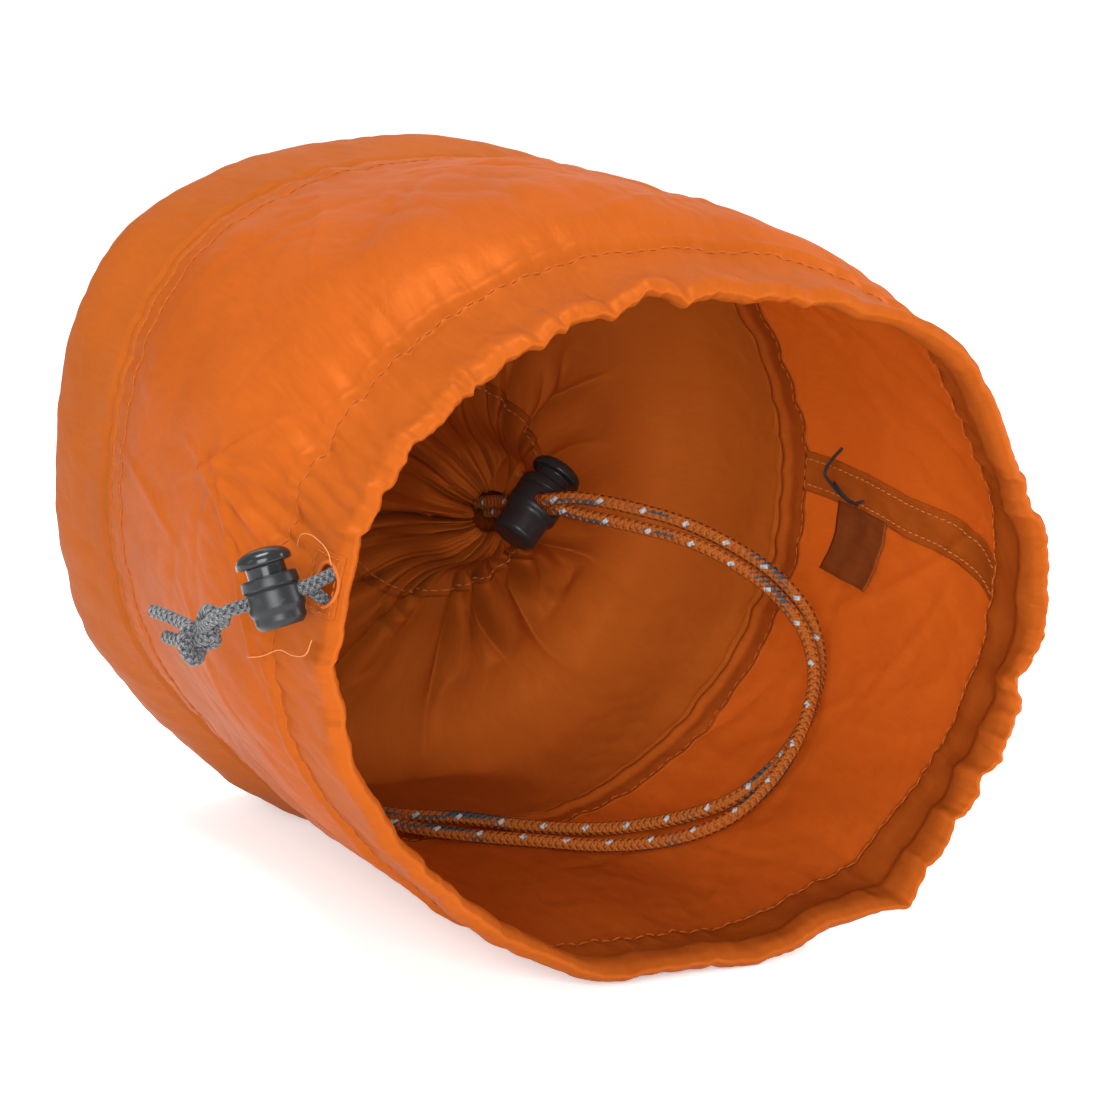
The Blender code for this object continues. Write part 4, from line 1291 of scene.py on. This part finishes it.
def mouth_cord(material):
    knot_at = place(*MOUTH_KNOT)
    tie = knot("mouth_knot", knot_at, (0.0062, 0.0068, 0.0073), MOUTH_CORD * 1.12, material,
               Vector((-0.55, 0.55, 0.62)))
    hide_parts("mouth_cord_knot")
    for strand, route in mouth_routes().items():
        tail = [place(*point) for point in MOUTH_TAILS[strand]]
        dense = smooth_route([*route, knot_at * 0.5 + (route[-1] + tail[0]) * 0.25, *tail], 0.0005)
        made = cord_mesh(f"mouth_cord_{strand}", dense, MOUTH_CORD, material)
        on_sack(made, f"mouth_cord_strand_{strand}", f"mouth_cord_tail_{strand}", slot="grey_cord")
    share = np.linspace(0, 1, 900)
    room = 0.0009 / 0.0917
    span = TAU - 2 * RING_END - 2 * room
    angle = EXIT_ANGLE - RING_END - room - span * share
    at = EXIT_Y + RING_PITCH * (share - 0.5)
    points = np.array([ring_point(turn, behind) for turn, behind in zip(angle, at)])
    outward = np.stack([np.cos(angle), 0 * angle, np.sin(angle)], -1)
    relief = channel_relief(angle, at, 0.0) + corner_relief(angle, at) + form_shift(angle, at)
    joined = smooth_step(share, 0.0, 0.012) * (1 - smooth_step(share, 0.988, 1.0))
    points = points + outward * (relief * joined)[:, None]
    points[:, 1] += edge_sway(angle, at) * joined
    points[:, 2] = np.maximum(points[:, 2], 0.0028)
    made = cord_mesh("mouth_cord_ring_braid", points, MOUTH_CORD, material, sides=12)
    on_sack(made, "mouth_cord_ring", slot="grey_cord")


def knot(name, centre, sizes, diameter, material, axis, turn=0.0):
    """Overhand knot drawn tight: one closed turn of three crossings round an axis."""
    t = np.linspace(0, TAU, 150, endpoint=False)
    flat = np.stack([np.sin(t) + 1.75 * np.sin(2 * t), np.cos(t) - 1.75 * np.cos(2 * t),
                     -1.15 * np.sin(3 * t)], 1)
    z_axis = axis.normalized()
    x_axis = z_axis.orthogonal().normalized()
    y_axis = z_axis.cross(x_axis)
    along = x_axis * math.cos(turn) + y_axis * math.sin(turn)
    across = z_axis.cross(along)
    basis = np.array([along, across, z_axis])
    spots = flat @ basis
    room = np.array(sizes) - diameter / 2
    spots *= (room / np.abs(spots).max(axis=0))[None, :]
    made = cord_mesh(name, spots + np.array(centre), diameter, material, closed=True, sides=18)
    return on_sack(made)


def end_cord(material):
    put = lock_frame("end")
    beside = END_CORD / 2 + CORD_GAP
    knot_at = place(*END_KNOT)
    tie = knot("end_knot", knot_at, (0.0060, 0.0064, 0.0054), END_CORD * 1.02, material,
               Vector((0.8, 0.3, 0.5)), 0.6)
    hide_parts("end_cord_knot")
    for strand, side in (("a", -1), ("b", 1)):
        straight = [put @ Vector((along, side * beside, 0.0))
                    for along in (-0.0290, -0.0200, -0.0100, 0.0, 0.0070, 0.0105)]
        tail = [place(*point) for point in END_TAILS[strand]]
        last = place(*END_ROUTES[strand][-1])
        route = [*straight, *(place(*point) for point in END_ROUTES[strand]), (last + tail[0]) / 2, *tail]
        dense = smooth_route(route, 0.0006)
        made = cord_mesh(f"end_cord_{strand}", dense, END_CORD, material)
        on_sack(made, f"end_cord_strand_{strand}", f"end_cord_tail_{strand}", slot="end_cord")
    angles = np.arange(300) * TAU / 300
    ring = sleeve_form(angles, 0.0358 + 0 * angles, 0.150 + 0 * angles)
    ring[:, 1] += gather_relief(angles, 0.150) * 0.9
    made = cord_mesh("end_cord_ring_braid", ring, END_CORD, material, closed=True, sides=12)
    on_sack(made, "end_cord_ring", slot="end_cord")


# ---------------------------------------------------------------- cord locks

def rounded(profile, radius, steps=5):
    """A profile with each inner corner turned into a short curve."""
    points = [np.array(point, dtype=float) for point in profile]
    made = [points[0]]
    for before, here, after in zip(points, points[1:], points[2:]):
        back = before - here
        on = after - here
        cut_back = min(radius, 0.45 * np.linalg.norm(back))
        cut_on = min(radius, 0.45 * np.linalg.norm(on))
        start = here + back / np.linalg.norm(back) * cut_back
        end = here + on / np.linalg.norm(on) * cut_on
        for step in range(steps + 1):
            t = step / steps
            made.append((1 - t) ** 2 * start + 2 * t * (1 - t) * here + t ** 2 * end)
    made.append(points[-1])
    return made


def turned(name, profile, put, material, sides=72):
    """Solid of revolution round the lock's Z. Its profile of (radius, height) starts and ends there."""
    spots = np.array(profile)
    angle = np.arange(sides) * TAU / sides
    inner = spots[1:-1]
    points = np.stack([inner[:, :1] * np.cos(angle), inner[:, :1] * np.sin(angle),
                       inner[:, 1:] + 0 * angle], -1).reshape(-1, 3)
    first, last = (0.0, 0.0, spots[0][1]), (0.0, 0.0, spots[-1][1])
    points = np.concatenate([points, [first, last]])
    rows = len(inner)
    faces, uv_rows, uv_columns = grid_faces(rows, sides, True)
    faces = [tuple(face) for face in faces]
    uvs = [np.stack([uv_columns / sides * 0.04, uv_rows / rows * 0.02], -1).reshape(-1, 2)]
    for side in range(sides):
        after = (side + 1) % sides
        faces.append((rows * sides, after, side))
        faces.append((rows * sides + 1, (rows - 1) * sides + side, (rows - 1) * sides + after))
        uvs.append(np.zeros((6, 2)))
    placed = points @ np.array(put.to_3x3()).T + np.array(put.translation)
    made = finish_mesh(name, placed, faces, np.concatenate(uvs), material)
    work = bmesh.new()
    work.from_mesh(made.data)
    bmesh.ops.recalc_face_normals(work, faces=work.faces)
    work.to_mesh(made.data)
    work.free()
    return made


def cut_hole(target, put, width, height, middle):
    """Cut a rounded hole along the lock's X through a piece."""
    sides = 32
    angle = np.arange(sides) * TAU / sides
    power = 0.62
    y = width / 2 * np.sign(np.cos(angle)) * np.abs(np.cos(angle)) ** power
    z = middle + height / 2 * np.sign(np.sin(angle)) * np.abs(np.sin(angle)) ** power
    work = bmesh.new()
    rings = [[work.verts.new(put @ Vector((x, *spot))) for spot in zip(y, z)] for x in (-0.020, 0.020)]
    for index in range(sides):
        after = (index + 1) % sides
        work.faces.new((rings[0][index], rings[0][after], rings[1][after], rings[1][index]))
    work.faces.new(rings[0][::-1])
    work.faces.new(rings[1])
    bmesh.ops.recalc_face_normals(work, faces=work.faces)
    mesh = bpy.data.meshes.new("cutter")
    work.to_mesh(mesh)
    work.free()
    cutter = in_scene("cutter", mesh)
    cut = target.modifiers.new("hole", "BOOLEAN")
    cut.object = cutter
    cut.operation = "DIFFERENCE"
    cut.solver = "EXACT"
    bpy.context.view_layer.update()
    result = bpy.data.meshes.new_from_object(target.evaluated_get(bpy.context.evaluated_depsgraph_get()))
    target.modifiers.clear()
    old = target.data
    target.data = result
    bpy.data.meshes.remove(old)
    bpy.data.objects.remove(cutter)
    target.data.polygons.foreach_set("use_smooth", [True] * len(target.data.polygons))
    target.data.set_sharp_from_angle(angle=math.radians(38))


def lock_inside(size):
    """Half width of the button's post, height of the cord's hole, the post's foot and the bore's floor."""
    height = size["cord"] + 0.0007
    foot = -height / 2 - 0.0008
    return size["cord"] + 0.0015, height, foot, foot - size["press"] - 0.0010


def lock(which, barrel_finish, button_finish):
    size = LOCKS[which]
    put = lock_frame(which)
    radius, low, top, press, rise = (size[key] for key in ("radius", "low", "top", "press", "rise"))
    post, height, foot, floor = lock_inside(size)
    width = 2 * size["cord"] + 0.0008
    bore = post + 0.00025
    narrow = bore + 0.0011
    barrel = rounded((
        (0.0, floor), (bore, floor), (bore, top - 0.0004), (bore + 0.0004, top), (radius - 0.0002, top),
        (radius, top - 0.0022), (radius - 0.0001, top - 0.0026), (radius - 0.0006, top - 0.0029),
        (radius - 0.0001, top - 0.0032), (radius, -0.0026), (narrow, -0.0038), (narrow, low + 0.0012),
        (narrow - 0.0012, low), (0.0, low),
    ), 0.0006)
    made = turned(f"{which}_barrel", barrel, put, barrel_finish)
    cut_hole(made, put, width, height, 0.0)
    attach(made, f"{which}_lock")
    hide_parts(f"{which}_lock_barrel")
    dome = top + press + 0.0003
    crown = radius * 0.97
    cap = [(0.0, dome + rise)]
    for step in range(1, 12):
        angle = step / 12 * math.pi / 2
        cap.append((crown * math.sin(angle) ** 0.86, dome + rise * (0.30 + 0.70 * math.cos(angle) ** 1.1)))
    lower = rounded(((crown, dome + rise * 0.34), (crown, dome + 0.0002), (crown * 0.86, dome), (post, dome),
                     (post, foot), (0.0, foot)), 0.0005)
    button = turned(f"{which}_button_cap", cap + lower, put, button_finish)
    cut_hole(button, put, width, height + press + 0.0008, press / 2 + 0.0004)
    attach(button, f"{which}_button")
    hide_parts(f"{which}_lock_plunger")
    return made, button


def spring(which, material):
    """Coil between the bore's floor and the button's foot."""
    size = LOCKS[which]
    put = lock_frame(which)
    post, _, foot, floor = lock_inside(size)
    low = floor + SPRING_WIRE / 2 + 0.0003
    high = foot - SPRING_WIRE / 2 - 0.0003
    radius = post - 0.0009
    turn = np.linspace(0, 2 * TAU, 90)
    height = low + (high - low) * turn / turn[-1]
    points = [put @ Vector((radius * math.cos(a), radius * math.sin(a), z)) for a, z in zip(turn, height)]
    made = cord_mesh(f"{which}_spring_coil", points, SPRING_WIRE, material, sides=10)
    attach(made, f"{which}_lock")
    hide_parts(f"{which}_lock_spring")
    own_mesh(made)
    return made


# ---------------------------------------------------------------- run

def build():
    camera()
    studio()
    outer = nylon("nylon_orange", (0.405, 0.093, 0.0115), (0.350, 0.080, 0.0095), (0.78, 0.30, 0.075))
    inner = nylon("nylon_orange_end", (0.395, 0.095, 0.0125), (0.345, 0.081, 0.0100), (0.60, 0.28, 0.090),
                  roughness=0.44, metallic=0.05)
    tape = nylon("nylon_orange_tape", (0.35, 0.078, 0.0095), (0.30, 0.064, 0.0075), (0.6, 0.14, 0.018),
                 share=0.10)
    # Care label: a real label, coloured dark as painted shade for the shadowed patch under the side band.
    label = nylon("label_painted_shade", (0.20, 0.048, 0.010), (0.15, 0.036, 0.008), (0.3, 0.07, 0.01), share=0.10)
    # Gather's middle: the orange nylon at about half brightness, painted shade for the dark depth of the
    # gather.
    painted_shade_core = nylon("nylon_orange_core_painted_shade", (0.20, 0.035, 0.005), (0.12, 0.02, 0.003), (0.2, 0.04, 0.005),
                 share=0.05)
    pale = thread_material("thread_pale", (0.60, 0.20, 0.055))
    plain = thread_material("thread_orange", (0.43, 0.092, 0.012))
    dark = thread_material("thread_dark", (0.030, 0.028, 0.030))
    panel = sack_panel(outer)
    end = end_panel(inner)
    gather_core(painted_shade_core)
    band = side_band(tape)
    tape_ring = seam_tape(outer)
    tag = care_label(label)
    patch = exit_patch(outer)
    all_stitching(pale, plain)
    loose_threads(pale, dark)
    barrel_finish = plastic("plastic_black", (0.013, 0.0135, 0.0145), 0.36, 0.25)
    button_finish = plastic("plastic_black_gloss", (0.014, 0.0145, 0.0155), 0.18, 0.12)
    steel = wire_material("spring_steel")
    locks = {which: [*lock(which, barrel_finish, button_finish), spring(which, steel)] for which in LOCKS}
    mouth_cord(marled_cord("cord_grey_marl"))
    end_cord(flecked_cord("cord_orange_flecked"))


build()
